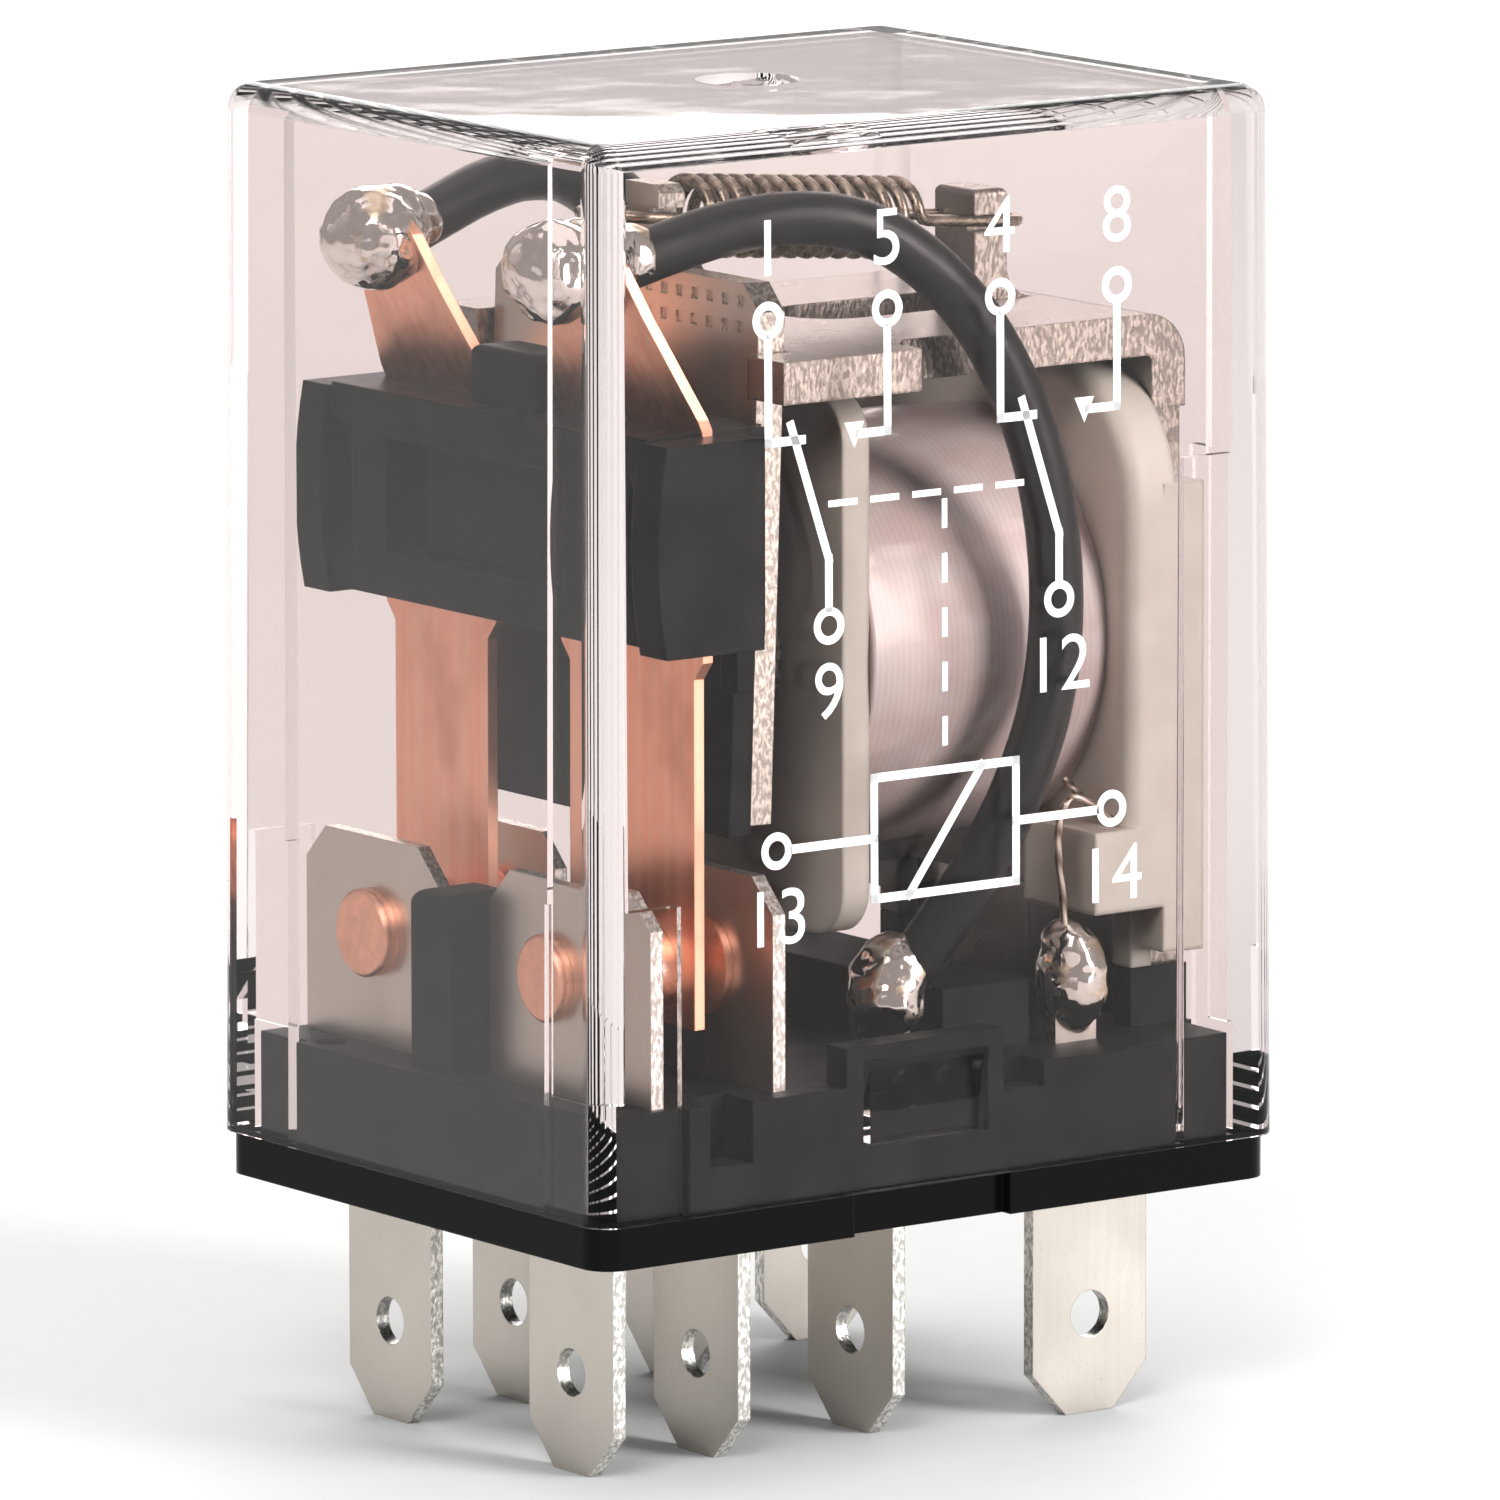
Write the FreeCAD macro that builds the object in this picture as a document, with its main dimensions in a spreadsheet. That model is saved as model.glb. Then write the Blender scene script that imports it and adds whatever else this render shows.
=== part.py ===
import FreeCAD
import Part
import Sketcher

import math
import os

from FreeCAD import Placement, Rotation, Vector

# Two-pole plug-in control relay with a clear dust cover, drawn in its rest state: coil off and the
# normally closed contacts made.
# Frame: +Z up, +X from the contacts towards the coil, origin at the centre of the underside of the base
# flange, which seats on the socket. Pole 1 is on the -Y side and pole 2 on the +Y side.

SIZES = {
    # seating flange and base block
    "flange_length": 27.6,
    "flange_width": 21.7,
    "flange_depth": 1.45,
    "flange_round": 1.0,
    "block_length": 25.8,
    "block_width": 19.9,
    "block_top": 4.9,
    # dust cover
    "cover_length": 28.0,
    "cover_width": 22.1,
    "cover_top": 36.75,
    "cover_draft": 0.2,
    "cover_wall": 1.0,
    "cover_round": 0.95,
    "cover_top_round": 0.9,
    # plug-in blades, 0.187 inch by 0.020 inch
    "tab_width": 4.75,
    "tab_gauge": 0.5,
    "tab_reach": 7.9,
    "eye_drop": 4.55,
    "eye_diameter": 1.6,
    # where the terminals stand
    "pole_offset": 5.2,
    "coil_offset": 7.6,
    "nc_row": -10.75,
    "no_row": -5.7,
    "com_row": 0.65,
    "coil_row": 8.4,
    # contact plates and rivets
    "plate_inner": 1.5,
    "plate_outer": 9.1,
    "plate_top": 11.9,
    "contact_rise": 8.7,
    "shank_radius": 0.9,
    # moving blades
    "spring_blade_row": -8.0,
    "spring_blade_gauge": 0.4,
    "spring_blade_width": 5.3,
    "spring_blade_foot": 7.0,
    "spring_blade_top": 26.8,
    "tail_lean": 24.0,
    "tail_length": 6.8,
    # yoke and pivot
    "yoke_gauge": 1.4,
    "yoke_top": 28.9,
    "yoke_back": 12.7,
    "yoke_half_width": 6.9,
    "ear_half_width": 9.0,
    "ear_front": -5.4,
    "ear_back": 0.2,
    "pivot_edge": -3.75,
    # armature
    "armature_gauge": 1.05,
    "armature_half_width": 6.8,
    "armature_drop": 15.6,
    "armature_rise": 2.2,
    "armature_gap_angle": 2.0,
    # coil
    "coil_axis": 18.15,
    "core_radius": 3.5,
    "bobbin_front": -1.5,
    "front_flange_gauge": 1.1,
    "back_flange_front": 9.3,
    "bobbin_back": 11.25,
    "winding_radius": 7.1,
    "tape_gauge": 0.2,
    # contact carrier
    "carrier_front": -10.4,
    "carrier_back": -5.65,
    "carrier_bottom": 19.9,
    "carrier_top": 26.75,
    "carrier_half_width": 8.3,
    # return spring
    "spring_front": -4.78,
    "spring_front_rise": 32.75,
    "spring_back": 9.68,
    "spring_back_rise": 31.5,
    "spring_radius": 1.24,
    "spring_wire": 0.21,
    "spring_pitch": 0.66,
    # pigtails
    "pigtail_radius": 0.9,
}

doc = FreeCAD.newDocument("relay")
sheet = doc.addObject("Spreadsheet::Sheet", "Sizes")
for row, (alias, value) in enumerate(SIZES.items(), start=1):
    sheet.set(f"A{row}", alias)
    sheet.set(f"B{row}", str(value))
    sheet.setAlias(f"B{row}", alias)
doc.recompute()

NODES = []
POLES = {1: -1, 2: 1}


def size(alias):
    """A driving dimension, read back from the sheet."""
    return float(sheet.get(alias))


def bind(thing, **expressions):
    """Bind properties to sheet expressions; a bare alias such as tab_gauge is found in the sheet."""
    for name, expression in expressions.items():
        thing.setExpression(name.replace("__", "."), with_sheet(expression))


def with_sheet(expression):
    """Put the sheet's name in front of each alias of an expression."""
    words = []
    for word in str(expression).replace("(", "( ").replace(")", " )").split():
        words.append(f"Sizes.{word}" if word in SIZES else word)
    return " ".join(words)


def at(thing, x="0", y="0", z="0"):
    """Bind the place of an object's own origin."""
    bind(thing, Placement__Base__x=x, Placement__Base__y=y, Placement__Base__z=z)
    return thing


def node(thing, label):
    """Mark an object as a finished sub-part, under its own name."""
    thing.Label = label
    NODES.append(thing)
    return thing


def box(name, x, y, z):
    """A box between two corner coordinates on each axis, given as pairs of expressions."""
    solid = doc.addObject("Part::Box", name)
    for prop, (low, high) in zip(("Length", "Width", "Height"), (x, y, z)):
        solid.setExpression(prop, with_sheet(f"( {high} ) - ( {low} )"))
    return at(solid, x[0], y[0], z[0])


def slab(name, x, half_width, z):
    """A box that is symmetric about the mid plane of the relay."""
    return box(name, x, (f"0 - ( {half_width} )", half_width), z)


def rod(name, x, radius, y="0", z="0"):
    """A cylinder along X between two expressions."""
    solid = doc.addObject("Part::Cylinder", name)
    solid.Placement = Placement(Vector(), Rotation(Vector(0, 1, 0), 90))
    bind(solid, Radius=radius, Height=f"( {x[1]} ) - ( {x[0]} )")
    return at(solid, x[0], y, z)


def cut(name, base, *tools):
    """The base with every tool taken away."""
    for count, tool in enumerate(tools):
        result = doc.addObject("Part::Cut", f"{name}_{count}")
        result.Base = base
        result.Tool = tool
        base = result
    return base


def fuse(name, *shapes):
    result = doc.addObject("Part::MultiFuse", name)
    result.Shapes = list(shapes)
    return result


def rounded(name, base, radius, chosen):
    """Round the edges of an object that the test picks."""
    doc.recompute()
    result = doc.addObject("Part::Fillet", name)
    result.Base = base
    picked = [number for number, edge in enumerate(base.Shape.Edges, start=1) if chosen(edge)]
    result.Edges = [(number, radius, radius) for number in picked]
    return result


def upright(edge):
    """True for a straight edge along Z."""
    ends = edge.Vertexes
    if len(ends) != 2:
        return False
    step = ends[1].Point - ends[0].Point
    return math.hypot(step.x, step.y) < 0.3 and abs(step.z) > 0.5


def body(name):
    return doc.addObject("PartDesign::Body", name)


def sketch(owner, plane, name):
    """A sketch on one of its body's own origin planes."""
    result = owner.newObject("Sketcher::SketchObject", name)
    face = [item for item in owner.Origin.OriginFeatures if item.Role == plane][0]
    result.AttachmentSupport = (face, "")
    result.MapMode = "FlatFace"
    return result


def draw(target, points):
    """A closed outline of straight edges through the points, joined end to end."""
    corners = [Vector(u, v, 0) for u, v in points]
    first = target.GeometryCount
    for start, end in zip(corners, corners[1:] + corners[:1]):
        target.addGeometry(Part.LineSegment(start, end), False)
    for step in range(len(corners)):
        follower = first + (step + 1) % len(corners)
        target.addConstraint(Sketcher.Constraint("Coincident", first + step, 2, follower, 1))


def draw_circle(target, u, v, diameter_expression):
    """A circle whose diameter follows the sheet."""
    number = target.addGeometry(Part.Circle(Vector(u, v, 0), Vector(0, 0, 1), 1.0), False)
    name = f"diameter_{number}"
    index = target.addConstraint(Sketcher.Constraint("Diameter", number, 1.0))
    target.renameConstraint(index, name)
    target.setExpression(f"Constraints.{name}", with_sheet(diameter_expression))


def pad(owner, outline, length, name="Pad"):
    """A pad symmetric about the sketch plane."""
    feature = owner.newObject("PartDesign::Pad", name)
    feature.Profile = outline
    feature.Midplane = True
    feature.setExpression("Length", with_sheet(length))
    outline.Visibility = False
    return feature


def pocket(owner, outline, name="Pocket"):
    """A cut right through, both ways from the sketch plane."""
    feature = owner.newObject("PartDesign::Pocket", name)
    feature.Profile = outline
    feature.Type = "ThroughAll"
    feature.Midplane = True
    return feature


def solid_node(label, shape):
    """A sub-part whose shape is made directly."""
    thing = doc.addObject("Part::Feature", label + "_shape")
    thing.Shape = shape
    return node(thing, label)


# ---------------------------------------------------------------- base and cover

COVER_RIB = 0.45        # how far the cover's guide ribs stand in from its walls
RIB_WIDTH = 2.7         # along the wall, from each inner corner
POSTS = {-1: (0.6, 2.55), 1: (0.7, 1.5)}    # inner corner posts of each end: depth along X, along Y
NOTCH = (-3.6, 2.85)    # the snap pocket's stretch of the long sides
LEG_FOOT = 2.6          # how deep the yoke's leg reaches into the base


def base():
    """Seating flange, block, barrier between the poles, coil saddle and snap pockets."""
    flange = slab("flange_blank", ("0 - flange_length / 2", "flange_length / 2"), "flange_width / 2",
                  ("0", "flange_depth"))
    flange = rounded("flange_rounded", flange, size("flange_round"), upright)
    block = slab("block_blank", ("0 - block_length / 2", "block_length / 2"), "block_width / 2",
                 ("flange_depth - 0.3", "block_top"))
    barrier = slab("barrier_blank", ("-12.3", "-9.6"), "1.15", ("block_top - 1", "10.9"))
    barrier = rounded("barrier_rounded", barrier, 0.5, lambda edge: edge.BoundBox.ZMin > 5)
    fin = slab("barrier_fin", ("-10.0", "-4.0"), "0.5", ("block_top - 1", "9.6"))
    saddle = slab("saddle", ("2.4", "6.0"), "7.2", ("block_top - 1", "7.1"))
    post = [box(f"foot_post_{side}", ("10.4", "12.6"), (f"{side} * 6.5 - 0.5", f"{side} * 6.5 + 0.5"),
                ("block_top - 1", "6.9")) for side in (-1, 1)]
    ledge = [box(f"snap_ledge_{side}", (f"{NOTCH[0]}", f"{NOTCH[1]}"),
                 (f"{side} * 9.4 - 0.55", f"{side} * 9.4 + 0.55"), ("block_top - 1", "6.2"))
             for side in (-1, 1)]
    whole = fuse("base_fused", flange, block, barrier, fin, saddle, *post, *ledge)
    tools = []
    half_width = size("block_width") / 2
    for side in (-1, 1):
        outer = f"{side} * {half_width}"
        tools.append(box(f"pocket_{side}", ("-2.9", "2.2"), (f"{outer} - 0.75", f"{outer} + 0.75"),
                         ("2.85", "5.65")))
        tools.append(box(f"blade_slot_{side}", ("-9.1", "-7.4"), (f"{outer} - 1.6", f"{outer} + 1.6"),
                         ("2.85", "block_top + 1")))
        tools.append(box(f"side_slot_{side}", (f"{NOTCH[1]}", "4.5"), (f"{outer} - 1.3", f"{outer} + 1.3"),
                         ("4.05", "block_top + 1")))
        tools.append(box(f"pry_recess_{side}", (f"{NOTCH[0]}", "2.8"),
                         (f"{side} * flange_width / 2 - 0.45", f"{side} * flange_width / 2 + 0.45"),
                         ("-1", "flange_depth")))
        for end in (-1, 1):
            tools.append(box(f"rib_relief_{side}_{end}",
                             (f"{end} * 12.9 - 2.95", f"{end} * 12.9 + 2.95"),
                             (f"{outer} - 0.5", f"{outer} + 0.5"), ("flange_depth", "block_top + 1")))
            tools.append(box(f"end_relief_{side}_{end}",
                             (f"{end} * 12.9 - 0.5", f"{end} * 12.9 + 0.5"),
                             (f"{side} * 9.95 - 2.95", f"{side} * 9.95 + 2.95"),
                             ("flange_depth", "block_top + 1")))
    vent = doc.addObject("Part::Cylinder", "moulding_pip_hole")
    bind(vent, Radius="0.55", Height="1")
    at(vent, "-11.9", "6.4", "block_top - 0.6")
    leg_slot = slab("leg_slot", ("yoke_back - yoke_gauge", "14"), "yoke_half_width - 0.3",
                    (str(LEG_FOOT), "9"))
    terminals = [thing for thing in NODES if "terminal" in thing.Label]
    return cut("base_cut", whole, *tools, vent, leg_slot, *terminals)


def cover():
    """Clear five-sided box with draft, corner posts, guide ribs and two snap lugs."""
    length, width = size("cover_length"), size("cover_width")
    bottom, top, draft = size("flange_depth"), size("cover_top"), size("cover_draft")

    def tapered(inset, low, high):
        """The cover's box shape, set in from its outside by the inset."""
        sections = []
        for level in (low, high):
            shrink = inset + draft * (level - bottom) / (top - bottom)
            half_x, half_y = length / 2 - shrink, width / 2 - shrink
            corners = [Vector(x, y, level) for x, y in ((-half_x, -half_y), (half_x, -half_y),
                                                       (half_x, half_y), (-half_x, half_y))]
            sections.append(Part.makePolygon(corners + corners[:1]))
        return Part.makeLoft(sections, True, True)

    outer = tapered(0, bottom, top)
    outer = outer.makeFillet(size("cover_round"), [edge for edge in outer.Edges if upright(edge)])
    rim = [edge for edge in outer.Edges if edge.BoundBox.ZMin > top - 0.01]
    outer = outer.makeFillet(size("cover_top_round"), rim)
    wall = size("cover_wall")
    inner = tapered(wall, bottom, top - wall)
    inner = inner.makeFillet(0.5, [edge for edge in inner.Edges if upright(edge)])
    shell = outer.cut(inner)

    additions = []
    reach_x, reach_y = length / 2 - 0.6, width / 2 - 0.6
    face_x, face_y = length / 2 - wall, width / 2 - wall
    post_foot = 5.3
    for end, rib_top in ((-1, 11.65), (1, 24.5)):
        for side in (-1, 1):
            def corner_box(depth_x, depth_y, low, high):
                """A box in this inner corner, reaching into both walls."""
                sizes = (reach_x - face_x + depth_x, reach_y - face_y + depth_y, high - low)
                corner = Vector(min(end * reach_x, end * (face_x - depth_x)),
                                min(side * reach_y, side * (face_y - depth_y)), low)
                return Part.makeBox(*sizes, corner)
            additions.append(corner_box(*POSTS[end], post_foot, top - 0.6))
            additions.append(corner_box(COVER_RIB, RIB_WIDTH, bottom, rib_top))
            additions.append(corner_box(RIB_WIDTH, COVER_RIB, bottom, rib_top))
    for side in (-1, 1):
        profile = [Vector(-2.7, side * (face_y + 0.4), 2.95), Vector(-2.7, side * (face_y - 0.6), 2.95),
                   Vector(-2.7, side * (face_y - 0.6), 3.9), Vector(-2.7, side * face_y, 5.5),
                   Vector(-2.7, side * (face_y + 0.4), 5.5)]
        lug = Part.Face(Part.makePolygon(profile + profile[:1])).extrude(Vector(4.7, 0, 0))
        additions.append(lug)
    clearance = tapered(0.5, bottom - 1, bottom)
    shell = shell.fuse(additions).removeSplitter()
    shell = shell.cut(clearance)
    dimple_centre = Vector(0.5, 0.6, top - 0.35)
    dimple = Part.makeCylinder(1.75, 1, dimple_centre).cut(Part.makeCylinder(0.55, 0.25, dimple_centre))
    return shell.cut(dimple)


# ---------------------------------------------------------------- terminals and contacts

TIP_CHAMFER = (1.4, 1.5)    # across and along the blade
PLATE_CHAMFER = 1.15
SHOULDER = 2.4              # where a blade widens, hidden in the block


def blade_tip(centre):
    """The lower end of a plug-in blade, from its right shoulder round to its left."""
    half, tip = size("tab_width") / 2, -size("tab_reach")
    across, along = TIP_CHAMFER
    return [(centre + half, tip + along), (centre + half - across, tip),
            (centre - half + across, tip), (centre - half, tip + along)]


def stamping(name, plane, outline, eye, place):
    """A flat terminal: outline and solder eye in the sketch, the sheet's gauge in the pad."""
    part = body(name)
    shape = sketch(part, plane, name + "_outline")
    draw(shape, outline)
    draw_circle(shape, eye, -size("eye_drop"), "eye_diameter")
    pad(part, shape, "tab_gauge", name + "_pad")
    at(part, *place)
    return part, shape


def contact_terminal(label, side, row):
    """A blade that widens to a contact plate above the block."""
    inner, outer, top = size("plate_inner"), size("plate_outer"), size("plate_top")
    centre, half = size("pole_offset"), size("tab_width") / 2
    right = [(outer, SHOULDER), (centre + half, SHOULDER)]
    left = [(centre - half, SHOULDER), (inner, SHOULDER)]
    crown = [(inner, top - PLATE_CHAMFER), (inner + PLATE_CHAMFER, top),
             (outer - PLATE_CHAMFER, top), (outer, top - PLATE_CHAMFER)]
    outline = [(side * u, v) for u, v in right + blade_tip(centre) + left + crown]
    part, shape = stamping(label + "_body", "YZ_Plane", outline, side * centre, (row, "0", "0"))
    draw_circle(shape, side * centre, size("contact_rise"), "2 * shank_radius")
    return node(part, label)


def com_terminal(label, side):
    """A blade with a narrow solder tab above the block."""
    centre, half = size("pole_offset"), size("tab_width") / 2
    outline = [(centre + half, SHOULDER), *blade_tip(centre), (centre - half, SHOULDER),
               (5.3, SHOULDER), (5.3, 8.1), (5.8, 8.6), (6.9, 8.6), (7.4, 8.1), (7.4, SHOULDER)]
    outline = [(side * u, v) for u, v in outline]
    part, _ = stamping(label + "_body", "YZ_Plane", outline, side * centre, ("com_row", "0", "0"))
    return node(part, label)


def coil_terminal(label, side):
    """A blade across the relay's width with a narrow solder tab above the block."""
    half = size("tab_width") / 2
    outline = [(half, SHOULDER), *blade_tip(0), (-half, SHOULDER), (-1.8, SHOULDER), (-1.8, 8.2),
               (-1.4, 8.6), (-0.5, 8.6), (-0.1, 8.2), (-0.1, SHOULDER)]
    part, _ = stamping(label + "_body", "XZ_Plane", outline, 0, ("coil_row", f"{side} * coil_offset", "0"))
    return node(part, label)


def dome_middle(rim, apex):
    """The point halfway round a dome's profile, between its rim and its apex on the axis."""
    rise = apex.x - rim.x
    radius = (rim.y ** 2 + rise ** 2) / (2 * rise)
    half_angle = math.asin(rim.y / abs(radius)) / 2
    return Vector(apex.x - radius * (1 - math.cos(half_angle)), abs(radius) * math.sin(half_angle), 0)


def rivet(label, side, row, profile):
    """A rivet turned about X from (x, radius) points; an edge that slopes to the axis is a dome."""
    part = body(label + "_body")
    shape = sketch(part, "XZ_Plane", label + "_profile")
    points = [Vector(u, v, 0) for u, v in profile]
    for start, end in zip(points, points[1:] + points[:1]):
        sloping = abs(start.x - end.x) > 0.01
        if sloping and 0 in (start.y, end.y) and start.y != end.y:
            rim, apex = (start, end) if end.y == 0 else (end, start)
            shape.addGeometry(Part.Arc(start, dome_middle(rim, apex), end), False)
        else:
            shape.addGeometry(Part.LineSegment(start, end), False)
    turn = part.newObject("PartDesign::Revolution", label + "_turned")
    turn.Profile = shape
    turn.ReferenceAxis = (shape, ["H_Axis"])
    turn.Angle = 360.0
    at(part, row, f"{side} * pole_offset", "contact_rise")
    return node(part, label)


def nc_contact(label, side):
    """Tail disc on the outer face, domed head towards the moving blade."""
    sheet_half, shank = size("tab_gauge") / 2, size("shank_radius")
    profile = [(-sheet_half - 0.55, 0), (-sheet_half - 0.55, 1.38), (-sheet_half - 0.45, 1.48),
               (-sheet_half - 0.3, 1.48), (-sheet_half - 0.26, 1.36), (-sheet_half - 0.22, 1.48),
               (-sheet_half, 1.48), (-sheet_half, shank), (sheet_half, shank), (sheet_half, 1.75),
               (sheet_half + 0.7, 1.75), (sheet_half + 1.1, 0)]
    return rivet(label, side, "nc_row", profile)


def no_contact(label, side):
    """Tail disc on the coil side, low domed head towards the moving blade."""
    sheet_half, shank = size("tab_gauge") / 2, size("shank_radius")
    profile = [(-sheet_half - 0.65, 0), (-sheet_half - 0.3, 1.75), (-sheet_half, 1.75),
               (-sheet_half, shank), (sheet_half, shank), (sheet_half, 1.48),
               (sheet_half + 0.4, 1.48), (sheet_half + 0.4, 0)]
    return rivet(label, side, "no_row", profile)


def moving_contact(label, side):
    """One rivet with a contact face on each side of the moving blade."""
    sheet_half, shank = size("spring_blade_gauge") / 2, size("shank_radius")
    profile = [(-sheet_half - 1.15, 0), (-sheet_half - 0.8, 1.6), (-sheet_half, 1.6),
               (-sheet_half, shank), (sheet_half, shank), (sheet_half, 1.6),
               (sheet_half + 0.2, 1.6), (sheet_half + 0.45, 0)]
    return rivet(label, side, "spring_blade_row", profile)


# ---------------------------------------------------------------- magnet

HOOK_TAB = 1.1      # half width of the tabs that the spring hooks on
NECK_HALF = 0.65    # half width of their necks
NECK_GAP = 0.56     # how high the necks are


def yoke():
    """Bent plate: top with two ears and a raised spring post, leg down the back of the coil."""
    gauge, top, back = size("yoke_gauge"), size("yoke_top"), size("yoke_back")
    front, foot, bend = size("ear_front"), LEG_FOOT, 1.6
    slope = math.sqrt(0.5)
    inner = bend - gauge
    part = body("yoke_body")
    profile = sketch(part, "XZ_Plane", "yoke_profile")
    corners = [Vector(front, top - gauge, 0), Vector(front, top, 0), Vector(back - bend, top, 0),
               Vector(back, top - bend, 0), Vector(back, foot, 0), Vector(back - gauge, foot, 0),
               Vector(back - gauge, top - bend, 0), Vector(back - bend, top - gauge, 0)]
    bows = {2: bend, 6: inner}
    for index, (start, end) in enumerate(zip(corners, corners[1:] + corners[:1])):
        if index in bows:
            centre = Vector(back - bend, top - bend, 0)
            through = centre + Vector(slope, slope, 0) * bows[index]
            profile.addGeometry(Part.Arc(start, through, end), False)
        else:
            profile.addGeometry(Part.LineSegment(start, end), False)
    pad(part, profile, "2 * ear_half_width", "yoke_bent_plate")

    plan = sketch(part, "XY_Plane", "yoke_plan")
    narrow, wide, ear_back, far = size("yoke_half_width"), size("ear_half_width"), size("ear_back"), 20
    for side in (-1, 1):
        draw(plan, [(ear_back, side * far), (ear_back, side * (narrow + 0.8)),
                    (ear_back + 0.8, side * narrow), (far, side * narrow), (far, side * far)])
    pivot, mouth = size("pivot_edge"), size("armature_half_width") + 0.2
    draw(plan, [(-far, -mouth), (pivot, -mouth), (pivot, mouth), (-far, mouth)])
    pocket(part, plan, "yoke_outline_cut")

    leg = sketch(part, "YZ_Plane", "yoke_leg_outline")
    for side in (-1, 1):
        draw(leg, [(side * (narrow - 0.3), 0), (side * (narrow - 0.3), top - 3.2),
                   (side * far, top - 3.2), (side * far, 0)])
    pocket(part, leg, "yoke_leg_cut")
    doc.recompute()
    plate = part.Shape.copy()

    slot_round, post_front, post_gauge = 1.9, 8.3, 1.35
    opening = Part.makeBox(post_front - 3.1, 2 * slot_round, 5, Vector(3.1, -slot_round, top - 3))
    opening = opening.fuse(Part.makeCylinder(slot_round, 5, Vector(3.1, 0, top - 3)))
    post = Part.makeBox(post_gauge, 2 * HOOK_TAB, 4.15, Vector(post_front, -HOOK_TAB, top - 0.4))
    post = post.makeFillet(0.25, [edge for edge in post.Edges if edge.BoundBox.ZMin > top + 3])
    for side in (-1, 1):
        neck = Part.makeBox(3, 1, NECK_GAP, Vector(post_front - 1, side * (NECK_HALF + 0.5) - 0.5,
                                                   size("spring_back_rise") - NECK_GAP / 2))
        post = post.cut(neck)
    root = Part.makeBox(1.1, 2 * HOOK_TAB, 1.1, Vector(post_front + post_gauge, -HOOK_TAB, top))
    hollow = Part.makeCylinder(1.1, 3, Vector(post_front + post_gauge + 1.1, -1.5, top + 1.1),
                               Vector(0, 1, 0))
    stake = Part.makeCylinder(2.3, 5, Vector(back - 3, 0, size("coil_axis")), Vector(1, 0, 0))
    return plate.cut(opening).fuse([post, root.cut(hollow)]).cut(stake).removeSplitter()


def core_and_ring():
    """Round core with its pole face split by the shading ring, staked into the yoke's leg."""
    axis, radius = size("coil_axis"), size("core_radius")
    pole, back, gauge = size("pivot_edge") + 0.03, size("yoke_back"), size("yoke_gauge")
    along = Vector(1, 0, 0)
    rod_shape = Part.makeCylinder(radius, back - gauge - pole, Vector(pole, 0, axis), along)
    neck = Part.makeCylinder(2.28, gauge + 0.05, Vector(back - gauge, 0, axis), along)
    rod_shape = rod_shape.fuse(neck).removeSplitter()
    loop_front, loop_depth, loop_wall = pole + 0.15, 0.8, 0.65
    outer = Part.makeCylinder(radius, loop_depth, Vector(loop_front, 0, axis), along)
    inner = Part.makeCylinder(radius - loop_wall, loop_depth, Vector(loop_front, 0, axis), along)
    half = Part.makeBox(loop_depth, radius, 2 * radius, Vector(loop_front, 0.3, axis - radius))
    inner_half = Part.makeBox(loop_depth, radius, 2 * radius,
                              Vector(loop_front, 0.3 + loop_wall, axis - radius))
    ring = outer.common(half).cut(inner.common(inner_half))
    mouth = Part.makeBox(0.15, radius, 2 * radius, Vector(pole, 0.3, axis - radius))
    mouth = mouth.common(Part.makeCylinder(radius, 0.15, Vector(pole, 0, axis), along))
    island = Part.makeCylinder(radius - loop_wall, 0.15, Vector(pole, 0, axis), along)
    island_side = Part.makeBox(0.15, radius, 2 * radius, Vector(pole, 0.3 + loop_wall, axis - radius))
    island = island.common(island_side)
    return rod_shape.cut(ring).cut(mouth.cut(island)), ring


def bobbin():
    """Tube with a plain front flange and a larger back flange whose cheeks clasp the yoke's leg."""
    axis = size("coil_axis")
    front_flange = slab("front_flange_blank", ("bobbin_front", "bobbin_front + front_flange_gauge"), "6.9",
                        ("9.15", "27.2"))
    front_flange = rounded("front_flange", front_flange, 1.6, lambda edge: along_x(edge))
    back_flange = slab("back_flange_blank", ("back_flange_front", "bobbin_back"), "8.3", ("9.15", "27.2"))
    back_flange = rounded("back_flange_corners", back_flange, 4.4,
                          lambda edge: along_x(edge) and edge.BoundBox.ZMin > axis)
    back_flange = rounded("back_flange", back_flange, 0.7, lambda edge: front_rim(edge))
    tube = rod("bobbin_tube", ("bobbin_front", "bobbin_back"), "core_radius + 0.8", z="coil_axis")
    cheeks = [box(f"cheek_{side}", ("bobbin_back - 0.5", "12.3"),
                  (f"{side} * 7.65 - 0.65", f"{side} * 7.65 + 0.65"), ("7.6", "23.4")) for side in (-1, 1)]
    lead_blocks = [box(f"lead_block_{side}", ("7.9", "bobbin_back - 0.2"),
                       (f"{side} * 6.35 - 1.95", f"{side} * 6.35 + 1.95"), ("9.15", "11.9"))
                   for side in (-1, 1)]
    feet = [box(f"bobbin_foot_{side}", ("back_flange_front + 1.1", "bobbin_back"),
                (f"{side} * 6.5 - 0.5", f"{side} * 6.5 + 0.5"), ("6.92", "10")) for side in (-1, 1)]
    whole = fuse("bobbin_fused", front_flange, back_flange, tube, *cheeks, *lead_blocks, *feet)
    bore = rod("bobbin_bore", ("bobbin_front - 1", "bobbin_back + 1"), "core_radius + 0.05", z="coil_axis")
    return cut("bobbin_cut", whole, bore)


def along_x(edge):
    ends = edge.Vertexes
    return len(ends) == 2 and abs(ends[1].X - ends[0].X) > 0.5 and ends[1].Point.y == ends[0].Point.y


def front_rim(edge):
    """True for the edges round the back flange's winding-side face."""
    bounds = edge.BoundBox
    return abs(bounds.XMax - size("back_flange_front")) < 0.01 and bounds.XLength < 0.01


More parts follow.
